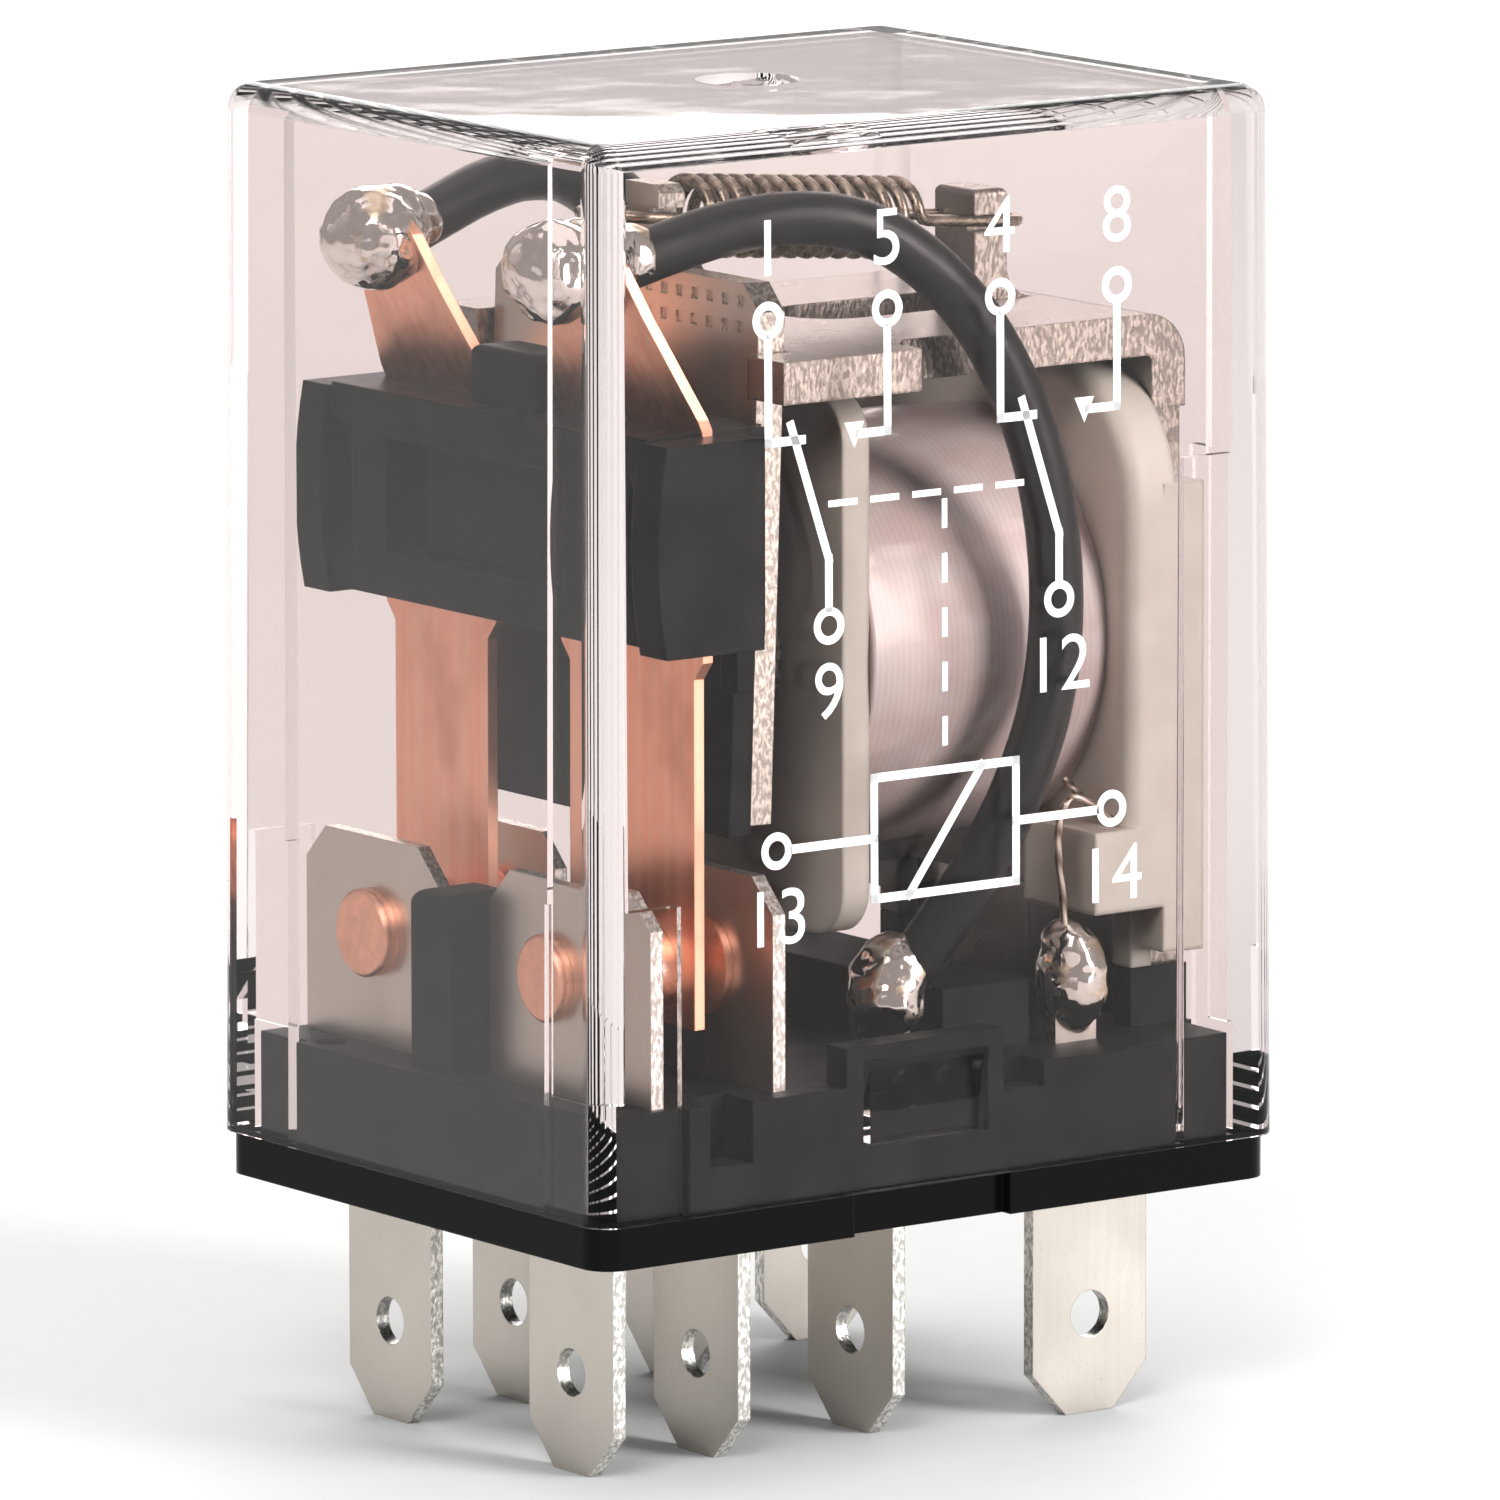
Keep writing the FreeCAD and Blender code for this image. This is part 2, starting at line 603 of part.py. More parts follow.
def winding():
    """The wound wire and the tape round it, both filling the space between the flanges."""
    front = "bobbin_front + front_flange_gauge + 0.03"
    back = "back_flange_front - 0.03"
    wire = rod("winding_blank", (front, back), "winding_radius", z="coil_axis")
    hole = rod("winding_hole", (front, back), "core_radius + 0.85", z="coil_axis")
    node(cut("winding_cut", wire, hole), "winding")
    tape = rod("tape_blank", (front, back), "winding_radius + 0.02 + tape_gauge", z="coil_axis")
    inside = rod("tape_hole", (front, back), "winding_radius + 0.02", z="coil_axis")
    node(cut("tape_cut", tape, inside), "winding_tape")


# ---------------------------------------------------------------- moving group

def rest_tilt():
    """Where the armature's own frame lies at rest: its lower end stands off the pole face."""
    pivot = Vector(size("pivot_edge") - 0.04, 0, size("yoke_top"))
    return Placement(pivot, Rotation(Vector(0, 1, 0), size("armature_gap_angle")))


def armature():
    """Flat plate drawn upright from its pivot, then tilted to rest."""
    half, drop, rise = size("armature_half_width"), size("armature_drop"), size("armature_rise")
    tab_top, corner = 4.9, 0.9
    neck = size("spring_front_rise") - size("yoke_top")
    neck_low, neck_high = neck - NECK_GAP / 2, neck + NECK_GAP / 2
    part = body("armature_body")
    outline = sketch(part, "YZ_Plane", "armature_outline")
    right = [(half, -drop), (half, rise - corner), (half - corner, rise), (HOOK_TAB, rise),
             (HOOK_TAB, neck_low), (NECK_HALF, neck_low), (NECK_HALF, neck_high), (HOOK_TAB, neck_high),
             (HOOK_TAB, tab_top - 0.3), (HOOK_TAB - 0.3, tab_top)]
    draw(outline, right + [(-u, v) for u, v in reversed(right)])
    plate = part.newObject("PartDesign::Pad", "armature_pad")
    plate.Profile = outline
    plate.setExpression("Length", with_sheet("armature_gauge"))
    plate.Reversed = True
    doc.recompute()
    grip = sketch(part, "YZ_Plane", "armature_grip_marks")
    grip.AttachmentOffset = Placement(Vector(0, 0, -size("armature_gauge")), Rotation())
    mark, pitch = 0.36, 0.85
    for row_height in (0.55, 1.4):
        for column in range(-7, 8):
            u = column * pitch
            draw(grip, [(u, row_height), (u + mark, row_height), (u + mark, row_height + mark),
                        (u, row_height + mark)])
    marks = part.newObject("PartDesign::Pocket", "armature_grip")
    marks.Profile = grip
    marks.Length = 0.14
    marks.Reversed = True
    part.Placement = rest_tilt()
    return node(part, "armature")


def blade_profile():
    """Side view of a moving blade: upright, then leaning out above the carrier."""
    row = size("spring_blade_row")
    half = size("spring_blade_gauge") / 2
    foot, knee = size("spring_blade_foot"), size("spring_blade_top")
    lean, length = math.radians(size("tail_lean")), size("tail_length")
    along = Vector(-math.sin(lean), 0, math.cos(lean))
    across = Vector(math.cos(lean), 0, math.sin(lean))
    miter = half * math.tan(lean / 2)
    bottom_left, bottom_right = Vector(row - half, 0, foot), Vector(row + half, 0, foot)
    knee_left = Vector(row - half, 0, knee - miter)
    knee_right = Vector(row + half, 0, knee + miter)
    centre = Vector(row, 0, knee) + along * length
    return [bottom_left, bottom_right, knee_right, centre + across * half, centre - across * half, knee_left]


def moving_blade(side):
    """Copper strip: narrow below, wide through the carrier, tapering to the solder tail."""
    profile = blade_profile()
    strip = Part.Face(Part.makePolygon(profile + profile[:1])).extrude(Vector(0, 20, 0))
    strip.translate(Vector(0, -10, 0))
    centre = side * size("pole_offset")
    low, wide = size("spring_blade_width") / 2, size("spring_blade_width") / 2 + 0.5
    front = [(-low, 0), (low, 0), (low, 18.6), (wide, 19.2), (wide, 27.2), (2.2, 30.6), (1.9, 32.2),
             (1.2, 33.2), (-1.2, 33.2), (-1.9, 32.2), (-2.2, 30.6), (-wide, 27.2), (-wide, 19.2),
             (-low, 18.6)]
    corners = [Vector(-20, centre + u, v) for u, v in front]
    mask = Part.Face(Part.makePolygon(corners + corners[:1])).extrude(Vector(20, 0, 0))
    blade = strip.common(mask)
    hole = Part.makeCylinder(size("shank_radius"), 4,
                             Vector(size("spring_blade_row") - 2, centre, size("contact_rise")),
                             Vector(1, 0, 0))
    return blade.cut(hole)


def contact_carrier(blades):
    """Moulding round both blades, with end cheeks, a lug between the tails and a tongue below."""
    front, back = size("carrier_front"), size("carrier_back")
    low, high, half = size("carrier_bottom"), size("carrier_top"), size("carrier_half_width")
    block = Part.makeBox(back - front, 2 * half, high - low, Vector(front, -half, low))
    recess = Part.makeBox(0.9, 10.4, 3.75, Vector(front - 0.01, -5.2, 21.45))
    floor_steps = [Part.makeBox(0.5, 1.1, 3.75, Vector(front + 0.88, side * 4.65 - 0.55, 21.45))
                   for side in (-1, 1)]
    pieces = []
    for side in (-1, 1):
        bow = [Vector(-6.7, 0, 19.7), Vector(-10.6, 0, 19.7), Vector(-10.95, 0, 23.3),
               Vector(-10.6, 0, 26.65), Vector(-6.7, 0, 26.65)]
        edge = Part.Wire([Part.LineSegment(bow[0], bow[1]).toShape(), Part.Arc(*bow[1:4]).toShape(),
                          Part.LineSegment(bow[3], bow[4]).toShape(),
                          Part.LineSegment(bow[4], bow[0]).toShape()])
        cheek = Part.Face(edge).extrude(Vector(0, 1.5, 0))
        cheek.translate(Vector(0, 8.2 if side > 0 else -9.7, 0))
        pieces.append(cheek)
        scoop = Part.makeCylinder(3.9, 1.2, Vector(-13.6, side * 7.75 - 0.6, 23.3), Vector(0, 1, 0))
        block = block.cut(scoop)
    lug = Part.makeBox(1.9, 3.6, 2.0, Vector(-9.3, -1.8, high - 0.1))
    lug = lug.makeFillet(0.3, [edge for edge in lug.Edges if edge.BoundBox.ZMin > high + 1.8])
    placement = rest_tilt()
    gauge = size("armature_gauge")
    tongue = Part.makeBox(0.85, 14.2, 15.9 - 2.3, Vector(-gauge - 0.85, -7.1, -15.9))
    tongue.Placement = placement
    bridge_foot = Vector(-gauge - 1.6, -6.7, low + 0.4 - size("yoke_top"))
    bridge = Part.makeBox(1.6, 13.4, high - low - 0.8, bridge_foot)
    bridge.Placement = placement
    nubs = [Part.makeBox(0.7, 0.9, 2.2, Vector(-6.2, side * 7.0 - 0.45, 17.9)) for side in (-1, 1)]
    whole = block.cut(recess).cut(floor_steps).fuse(pieces + [lug, tongue, bridge] + nubs)
    keep_out = Part.makeBox(5, 30, 40, Vector(-gauge, -15, -30))
    keep_out.Placement = placement
    return whole.cut(keep_out).cut(blades).removeSplitter()


def solder_blob(centre, radii):
    """A rounded blob of solder with its own radius along each axis."""
    stretch = FreeCAD.Matrix()
    stretch.scale(*radii)
    blob = Part.makeSphere(1).transformGeometry(stretch)
    blob.translate(centre)
    return blob


# ---------------------------------------------------------------- leads and spring

# Route of pole 1's pigtail, from the blade's solder joint over the yoke and down beside the coil.
# Pole 2's is its mirror image.
PIGTAIL_ROUTE = [
    (-9.4, -5.45, 32.0),
    (-7.8, -5.75, 32.5),
    (-5.7, -6.3, 33.1),
    (-3.4, -6.95, 33.35),
    (-1.0, -7.6, 32.95),
    (1.2, -8.15, 31.5),
    (3.0, -8.6, 29.4),
    (4.5, -8.85, 26.6),
    (5.5, -8.95, 23.4),
    (5.85, -8.95, 20.0),
    (5.55, -8.9, 16.9),
    (4.6, -8.65, 14.0),
    (3.3, -8.1, 11.3),
    (2.2, -7.3, 9.2),
    (1.35, -6.7, 7.75),
]


def route_wire(points):
    """Straight runs joined by arcs as large as the shorter run beside each point allows."""
    points = [Vector(*point) for point in points]
    edges, radii = [], []
    start = points[0]
    for before, here, after in zip(points, points[1:], points[2:]):
        into, out = here - before, after - here
        turn = into.getAngle(out)
        trim = 0.45 * min(into.Length, out.Length)
        radii.append(trim / math.tan(turn / 2))
        into.normalize()
        out.normalize()
        first, last = here - into * trim, here + out * trim
        inward = (out - into).normalize()
        centre_distance = radii[-1] / math.cos(turn / 2)
        middle = here + inward * (centre_distance - radii[-1])
        edges.append(Part.LineSegment(start, first).toShape())
        edges.append(Part.Arc(first, middle, last).toShape())
        start = last
    edges.append(Part.LineSegment(start, points[-1]).toShape())
    return Part.Wire(edges), radii


def tube(points, radius, name):
    """A round cord along its route, with its length, volume ratio and arc radii printed."""
    wire, radii = route_wire(points)
    direction = Vector(*points[1]) - Vector(*points[0])
    ring = Part.Wire(Part.Circle(Vector(*points[0]), direction, radius).toShape())
    solid = wire.makePipeShell([ring], True, True)
    ratio = solid.Volume / (math.pi * radius ** 2 * wire.Length)
    print(f"{name}: length {wire.Length:.2f} mm, volume ratio {ratio:.4f}, radii",
          " ".join(f"{value:.1f}" for value in radii))
    return solid


def mirrored(points, side):
    """The pole 1 route, or its mirror image for pole 2."""
    return [(x, y if side < 0 else -y, z) for x, y, z in points]


# The end of the coil's wire, from the winding over the bobbin's lead block to the terminal.
COIL_LEAD_RADIUS = 0.14
COIL_LEAD_ROUTE = [
    (8.7, -5.6, 13.3),
    (8.8, -6.4, 12.75),
    (8.9, -7.2, 12.4),
    (8.9, -8.1, 12.2),
    (8.3, -8.6, 12.3),
    (7.5, -8.65, 13.1),
    (6.6, -8.6, 13.4),
    (6.2, -8.5, 12.6),
    (6.3, -8.35, 11.3),
    (6.7, -8.1, 10.1),
    (7.0, -7.8, 8.9),
]


def return_spring():
    """Extension spring between the armature's tab and the yoke's post, with a flat hook at each end."""
    front = Vector(size("spring_front"), 0, size("spring_front_rise"))
    back = Vector(size("spring_back"), 0, size("spring_back_rise"))
    span, radius, wire = (back - front).Length, size("spring_radius"), size("spring_wire")
    coil_start, turns = 1.5, 14
    coil_length = turns * size("spring_pitch")
    helix = Part.makeHelix(size("spring_pitch"), coil_length, radius)
    helix.rotate(Vector(), Vector(0, 1, 0), 90)
    helix.translate(Vector(coil_start, 0, 0))
    first = helix.Edges[0]
    begin, tangent = first.valueAt(first.FirstParameter), first.tangentAt(first.FirstParameter)
    ring = Part.Wire(Part.Circle(begin, tangent, wire).toShape())
    coil = Part.Wire(helix.Edges).makePipeShell([ring], True, True)
    loop = 1.0

    def hook(inner, outer, outward):
        """Two legs from the last turn and a half ring round a tab's neck."""
        low, high = Vector(inner, -loop, 0), Vector(inner, loop, 0)
        turn_low, turn_high = Vector(outer, -loop, 0), Vector(outer, loop, 0)
        tip = Vector(outer + outward * loop, 0, 0)
        path = Part.Wire([Part.LineSegment(low, turn_low).toShape(),
                          Part.Arc(turn_low, tip, turn_high).toShape(),
                          Part.LineSegment(turn_high, high).toShape()])
        disc = Part.Wire(Part.Circle(low, Vector(outward, 0, 0), wire).toShape())
        return path.makePipeShell([disc], True, True)

    overlap = size("spring_pitch") / 2
    front_hook = hook(coil_start + overlap, 0, -1)
    back_hook = hook(coil_start + coil_length - overlap, span, 1)
    whole = coil.fuse([front_hook, back_hook])
    slope = math.degrees(math.atan2(front.z - back.z, back.x - front.x))
    whole.rotate(Vector(), Vector(0, 1, 0), slope)
    whole.translate(front)
    return whole


# ---------------------------------------------------------------- the assembly

for pole, side in POLES.items():
    contact_terminal(f"nc_terminal_{pole}", side, "nc_row")
    contact_terminal(f"no_terminal_{pole}", side, "no_row")
    com_terminal(f"com_terminal_{pole}", side)
    coil_terminal(f"coil_terminal_{pole}", side)
    nc_contact(f"nc_contact_{pole}", side)
    no_contact(f"no_contact_{pole}", side)
    moving_contact(f"moving_contact_{pole}", side)

node(base(), "base")
solid_node("dust_cover", cover())
solid_node("yoke", yoke())
core_shape, ring_shape = core_and_ring()
solid_node("core", core_shape)
solid_node("shading_ring", ring_shape)
node(bobbin(), "bobbin")
winding()
armature()
doc.recompute()

blades = {pole: moving_blade(side) for pole, side in POLES.items()}
solid_node("contact_carrier", contact_carrier(list(blades.values())))
solid_node("return_spring", return_spring())
finished = {thing.Label: thing for thing in NODES}

for pole, side in POLES.items():
    solid_node(f"moving_blade_{pole}", blades[pole])
    pigtail = tube(mirrored(PIGTAIL_ROUTE, side), size("pigtail_radius"), f"pigtail_{pole}")
    pigtail = pigtail.cut([blades[pole], finished[f"com_terminal_{pole}"].Shape])
    solid_node(f"pigtail_{pole}", pigtail)
    lead = tube(mirrored(COIL_LEAD_ROUTE, side), COIL_LEAD_RADIUS, f"coil_lead_{pole}")
    solid_node(f"coil_lead_{pole}", lead)

    centre = side * size("pole_offset")
    joint = Part.makeSphere(1.85)
    joint.rotate(Vector(), Vector(0, 0, 1), 180)    # the sphere's seam faces away from the blade
    joint.translate(Vector(-10.9, centre, 31.9))
    solid_node(f"blade_solder_{pole}", joint.cut([blades[pole], pigtail]))
    joint = solder_blob(Vector(size("com_row"), side * 6.35, 7.3), (1.2, 1.6, 1.9))
    solid_node(f"com_solder_{pole}", joint.cut([finished[f"com_terminal_{pole}"].Shape, pigtail]))
    coil_tab = Vector(size("coil_row") - 0.95, side * size("coil_offset"), 7.05)
    joint = solder_blob(coil_tab, (1.2, 1.4, 1.95))
    solid_node(f"coil_solder_{pole}", joint.cut([finished[f"coil_terminal_{pole}"].Shape, lead]))

doc.recompute()
for thing in doc.Objects:
    faults = [state for state in thing.State if state in ("Invalid", "Error")]
    if faults:
        raise RuntimeError(f"{thing.Label}: {faults}")
for thing in NODES:
    if thing.Shape.isNull() or not thing.Shape.isValid() or len(thing.Shape.Solids) != 1:
        raise RuntimeError(f"{thing.Label}: bad shape, {len(thing.Shape.Solids)} solids")

os.makedirs("parts", exist_ok=True)
for thing in NODES:
    thing.Shape.exportStep(f"parts/{thing.Label}.step")
    bounds = thing.Shape.BoundBox
    print(f"{thing.Label}: volume {thing.Shape.Volume:.2f}, x {bounds.XMin:.2f} {bounds.XMax:.2f},"
          f" y {bounds.YMin:.2f} {bounds.YMax:.2f}, z {bounds.ZMin:.2f} {bounds.ZMax:.2f}")
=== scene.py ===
"""Looks of the miniature plug-in relay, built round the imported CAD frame. Metres, +Z up."""
import math

import bmesh
import bpy
from mathutils import Matrix, Vector, noise


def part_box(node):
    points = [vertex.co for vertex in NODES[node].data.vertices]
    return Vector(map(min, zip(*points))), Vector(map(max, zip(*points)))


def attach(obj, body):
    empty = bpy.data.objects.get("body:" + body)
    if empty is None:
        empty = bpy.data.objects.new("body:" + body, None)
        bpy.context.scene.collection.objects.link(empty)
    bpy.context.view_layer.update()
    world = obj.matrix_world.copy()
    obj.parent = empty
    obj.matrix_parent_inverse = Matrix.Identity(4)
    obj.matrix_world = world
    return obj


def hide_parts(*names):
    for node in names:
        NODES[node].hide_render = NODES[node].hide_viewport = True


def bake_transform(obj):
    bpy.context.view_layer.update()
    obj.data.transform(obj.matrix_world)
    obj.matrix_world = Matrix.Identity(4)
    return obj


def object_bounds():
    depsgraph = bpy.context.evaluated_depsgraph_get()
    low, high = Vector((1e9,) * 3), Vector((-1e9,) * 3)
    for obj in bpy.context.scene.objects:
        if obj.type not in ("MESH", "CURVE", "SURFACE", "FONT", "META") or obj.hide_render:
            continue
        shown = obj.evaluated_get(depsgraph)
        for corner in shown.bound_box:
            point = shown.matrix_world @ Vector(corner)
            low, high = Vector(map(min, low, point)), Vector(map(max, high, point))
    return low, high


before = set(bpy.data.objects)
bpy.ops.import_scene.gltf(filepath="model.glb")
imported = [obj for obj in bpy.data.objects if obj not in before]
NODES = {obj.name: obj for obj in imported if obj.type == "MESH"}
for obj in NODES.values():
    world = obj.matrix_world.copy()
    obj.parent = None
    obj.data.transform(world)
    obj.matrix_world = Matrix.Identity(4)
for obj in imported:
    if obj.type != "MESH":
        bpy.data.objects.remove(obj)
CAD_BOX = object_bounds()
MM = 0.001
POLES = {1: -1, 2: 1}       # pole number: side of the XZ plane
FIXED, MOVING = "frame", "armature_group"


# ---------------------------------------------------------------- camera, light, floor

AZIMUTH, ELEVATION, ROLL = -36.153, 9.594, -0.099       # degrees
LENS_MM, SENSOR_MM = 358.82, 36.0
AIM_OFFSET = Vector((-0.072, -12.721, 500.233))         # the seating face's centre seen from the camera, mm
AIM_HEIGHT = 1.45                                       # mm above the seating face
CLIP_RANGE = (0.05, 20)                                 # metres

WORLD_STRENGTH = 0.46
LIT_POINT = (0, 0, 0.016)
SOFTBOXES = (               # name, place and size in metres, power in watts
    ("key_softbox", (-0.42, -0.30, 0.42), (0.30, 0.30), 1.7),
    ("fill_softbox", (0.22, -0.52, 0.20), (0.20, 0.40), 3.3),
    ("top_softbox", (0.05, 0.10, 0.60), (0.5, 0.5), 0.9),
    ("rim_softbox", (0.35, 0.40, 0.25), (0.4, 0.3), 1.1),
)


def set_camera():
    """A long lens at the height of the relay's cover, looking slightly down on its corner."""
    a, e, r = (math.radians(v) for v in (AZIMUTH, ELEVATION, ROLL))
    back = Vector((math.sin(a) * math.cos(e), -math.cos(a) * math.cos(e), math.sin(e)))
    flat_right = (-back).cross(Vector((0, 0, 1))).normalized()
    flat_up = flat_right.cross(-back)
    right = flat_right * math.cos(r) + flat_up * math.sin(r)
    up = flat_up * math.cos(r) - flat_right * math.sin(r)
    place = -(right * AIM_OFFSET.x + up * AIM_OFFSET.y - back * AIM_OFFSET.z)
    place.z += AIM_HEIGHT
    data = bpy.data.cameras.new("camera")
    data.lens, data.sensor_width = LENS_MM, SENSOR_MM
    data.clip_start, data.clip_end = CLIP_RANGE
    camera = bpy.data.objects.new("camera", data)
    bpy.context.scene.collection.objects.link(camera)
    turn = Matrix((right, up, back)).transposed().to_4x4()
    camera.matrix_world = Matrix.Translation(place * MM) @ turn
    bpy.context.scene.camera = camera


def area_light(name, place, size, power):
    """A rectangular softbox that faces the middle of the relay."""
    data = bpy.data.lights.new(name, "AREA")
    data.shape = "RECTANGLE"
    data.size, data.size_y = size
    data.energy = power
    light = bpy.data.objects.new(name, data)
    light.location = place
    light.rotation_mode = "QUATERNION"
    light.rotation_quaternion = (Vector(place) - Vector(LIT_POINT)).to_track_quat("Z", "Y")
    bpy.context.scene.collection.objects.link(light)


def set_light():
    """A pale world, four softboxes, and enough bounces for the clear cover."""
    scene = bpy.context.scene
    world = bpy.data.worlds.new("studio")
    world.use_nodes = True
    sky = world.node_tree.nodes["Background"].inputs
    sky["Color"].default_value = (1, 0.99, 0.98, 1)
    sky["Strength"].default_value = WORLD_STRENGTH
    scene.world = world
    for softbox in SOFTBOXES:
        area_light(*softbox)
    scene.view_settings.view_transform = "Standard"
    scene.view_settings.look = "None"
    scene.cycles.use_denoising = True
    scene.cycles.max_bounces = 40
    scene.cycles.transmission_bounces = 32
    scene.cycles.transparent_max_bounces = 24
    scene.cycles.glossy_bounces = 32
    scene.cycles.caustics_reflective = False
    scene.cycles.caustics_refractive = False
    scene.cycles.sample_clamp_indirect = 4


# ---------------------------------------------------------------- material helpers

MIX_SHARE, MIX_A, MIX_B, MIX_RESULT = 0, 6, 7, 2         # a Mix node's colour sockets


class Look:
    """One node material with short calls for the nodes it uses."""

    def __init__(self, name):
        self.material = bpy.data.materials.new(name)
        self.material.use_nodes = True
        self.tree = self.material.node_tree
        self.tree.nodes.clear()
        self.output = self.tree.nodes.new("ShaderNodeOutputMaterial")

    def add(self, kind, inputs=(), **settings):
        made = self.tree.nodes.new("ShaderNode" + kind)
        for key, value in settings.items():
            setattr(made, key, value)
        for key, value in dict(inputs).items():
            self.feed(made.inputs[key], value)
        return made

    def feed(self, socket, value):
        if isinstance(value, bpy.types.NodeSocket):
            self.tree.links.new(value, socket)
        elif socket.type == "RGBA" and len(value) == 3:
            socket.default_value = (*value, 1)
        else:
            socket.default_value = value

    def place(self, stretch=(1, 1, 1)):
        """Object coordinates in metres, stretched."""
        where = self.add("TexCoord").outputs["Object"]
        return self.add("Mapping", {"Vector": where, "Scale": stretch}).outputs["Vector"]

    def noise(self, scale, stretch=(1, 1, 1), detail=3.0, roughness=0.55):
        made = self.add("TexNoise", {"Vector": self.place(stretch), "Scale": scale, "Detail": detail,
                                     "Roughness": roughness})
        return made.outputs["Fac"]

    def math(self, operation, a, b=0.0, clamp=False):
        made = self.add("Math", operation=operation, use_clamp=clamp)
        self.feed(made.inputs[0], a)
        self.feed(made.inputs[1], b)
        return made.outputs[0]

    def remap(self, value, low, high, to_low=0.0, to_high=1.0):
        made = self.add("MapRange", {"Value": value, "From Min": low, "From Max": high, "To Min": to_low,
                                     "To Max": to_high}, interpolation_type="SMOOTHSTEP")
        return made.outputs["Result"]

    def mix(self, share, a, b):
        made = self.add("Mix", data_type="RGBA")
        self.feed(made.inputs[MIX_SHARE], share)
        self.feed(made.inputs[MIX_A], a)
        self.feed(made.inputs[MIX_B], b)
        return made.outputs[MIX_RESULT]

    def across(self, axis):
        """1 on faces that look along the axis, 0 on the edges between them."""
        normal = self.add("NewGeometry").outputs["True Normal"]
        part = self.add("SeparateXYZ", {"Vector": normal}).outputs[axis]
        return self.remap(self.math("ABSOLUTE", part), 0.5, 0.8)

    def height(self):
        """The point's height in the row frame, in metres."""
        return self.add("SeparateXYZ", {"Vector": self.add("TexCoord").outputs["Object"]}).outputs["Z"]

    def bump(self, value, distance, strength, round_edges=0.0):
        """A normal from a height, over edges rounded by a radius in metres."""
        inputs = {"Height": value, "Distance": distance, "Strength": strength}
        if round_edges:
            inputs["Normal"] = self.add("Bevel", {"Radius": round_edges}, samples=3).outputs["Normal"]
        return self.add("Bump", inputs).outputs["Normal"]

    def surface(self, **inputs):
        names = {key.replace("_", " "): value for key, value in inputs.items()}
        shader = self.add("BsdfPrincipled", names)
        self.tree.links.new(shader.outputs[0], self.output.inputs["Surface"])
        return shader


def plated(name, axis, face, edge, rough=0.34, round_edges=0.06 * MM, edges_face_axis=False):
    """Plated strip metal: satin faces with rolling marks and specks, brighter rough sheared edges.

    The broad faces look along the axis, or the sheared edges do where edges_face_axis is set."""
    look = Look(name)
    faces = look.across(axis)
    if edges_face_axis:
        faces = look.math("SUBTRACT", 1.0, faces)
    rolling = look.noise(2600, (1, 1, 0.08), 4)
    specks = look.remap(look.noise(9000, detail=2), 0.62, 0.74)
    cloud = look.noise(200, detail=2)
    tone = look.mix(look.remap(cloud, 0.25, 0.75), tuple(0.86 * c for c in face), face)
    tone = look.mix(look.math("MULTIPLY", specks, 0.35), tone, tuple(0.55 * c for c in face))
    tears = look.noise(7500, (1, 1, 0.5), 2)
    rim = look.mix(look.remap(tears, 0.42, 0.6), tuple(0.52 * c for c in edge), edge)
    height = look.mix(faces, look.math("MULTIPLY", tears, 2.0), rolling)
    roughness = look.math("ADD", look.math("MULTIPLY", cloud, 0.16), rough - 0.08)
    look.surface(Base_Color=look.mix(faces, rim, tone), Metallic=1.0, Roughness=roughness,
                 Normal=look.bump(height, 0.02 * MM, 0.55, round_edges))
    return look.material


def copper_strip(name, face_axis):
    """Rolled copper alloy: long fine rolling lines, a little oxide, bright thin edges."""
    look = Look(name)
    faces = look.across(face_axis)
    lines = look.noise(3000, (1, 1, 0.012), 1.5)
    oxide = look.remap(look.noise(330, (1, 1, 0.6), 3), 0.48, 0.72)
    tone = look.mix(look.remap(lines, 0.3, 0.7), (0.93, 0.43, 0.29), (0.98, 0.55, 0.39))
    tone = look.mix(look.math("MULTIPLY", oxide, 0.45), tone, (0.52, 0.22, 0.14))
    tone = look.mix(faces, (0.95, 0.52, 0.36), tone)
    look.surface(Base_Color=tone, Metallic=1.0,
                 Roughness=look.remap(lines, 0.2, 0.8, 0.30, 0.44),
                 Normal=look.bump(lines, 0.008 * MM, 0.5, 0.05 * MM))
    return look.material


def copper_rivet(name, colour, rough):
    """Headed contact: soft salmon metal with faint pits."""
    look = Look(name)
    cloud = look.noise(1500, detail=4)
    pits = look.remap(look.noise(5200, detail=2), 0.60, 0.72)
    tone = look.mix(look.remap(cloud, 0.35, 0.65), tuple(0.85 * c for c in colour), colour)
    tone = look.mix(look.math("MULTIPLY", pits, 0.5), tone, tuple(0.5 * c for c in colour))
    look.surface(Base_Color=tone, Metallic=1.0, Roughness=look.remap(cloud, 0.3, 0.7, rough, rough + 0.12),
                 Normal=look.bump(pits, 0.012 * MM, -0.5, 0.12 * MM))
    return look.material


def solder_metal():
    """Bright solder with shallow ripples and flecks of amber flux."""
    look = Look("bright_solder")
    ripple = look.noise(900, detail=3)
    patches = look.remap(look.noise(800, detail=6, roughness=0.65), 0.54, 0.62)
    tone = look.mix(look.math("MULTIPLY", patches, 0.55), (0.86, 0.84, 0.80), (0.52, 0.36, 0.15))
    look.surface(Base_Color=tone, Metallic=1.0, Roughness=look.remap(patches, 0, 1, 0.09, 0.32),
                 Normal=look.bump(ripple, 0.05 * MM, 0.55))
    return look.material


GLOSSY_FOOT = 0.16          # roughness of the seating flange


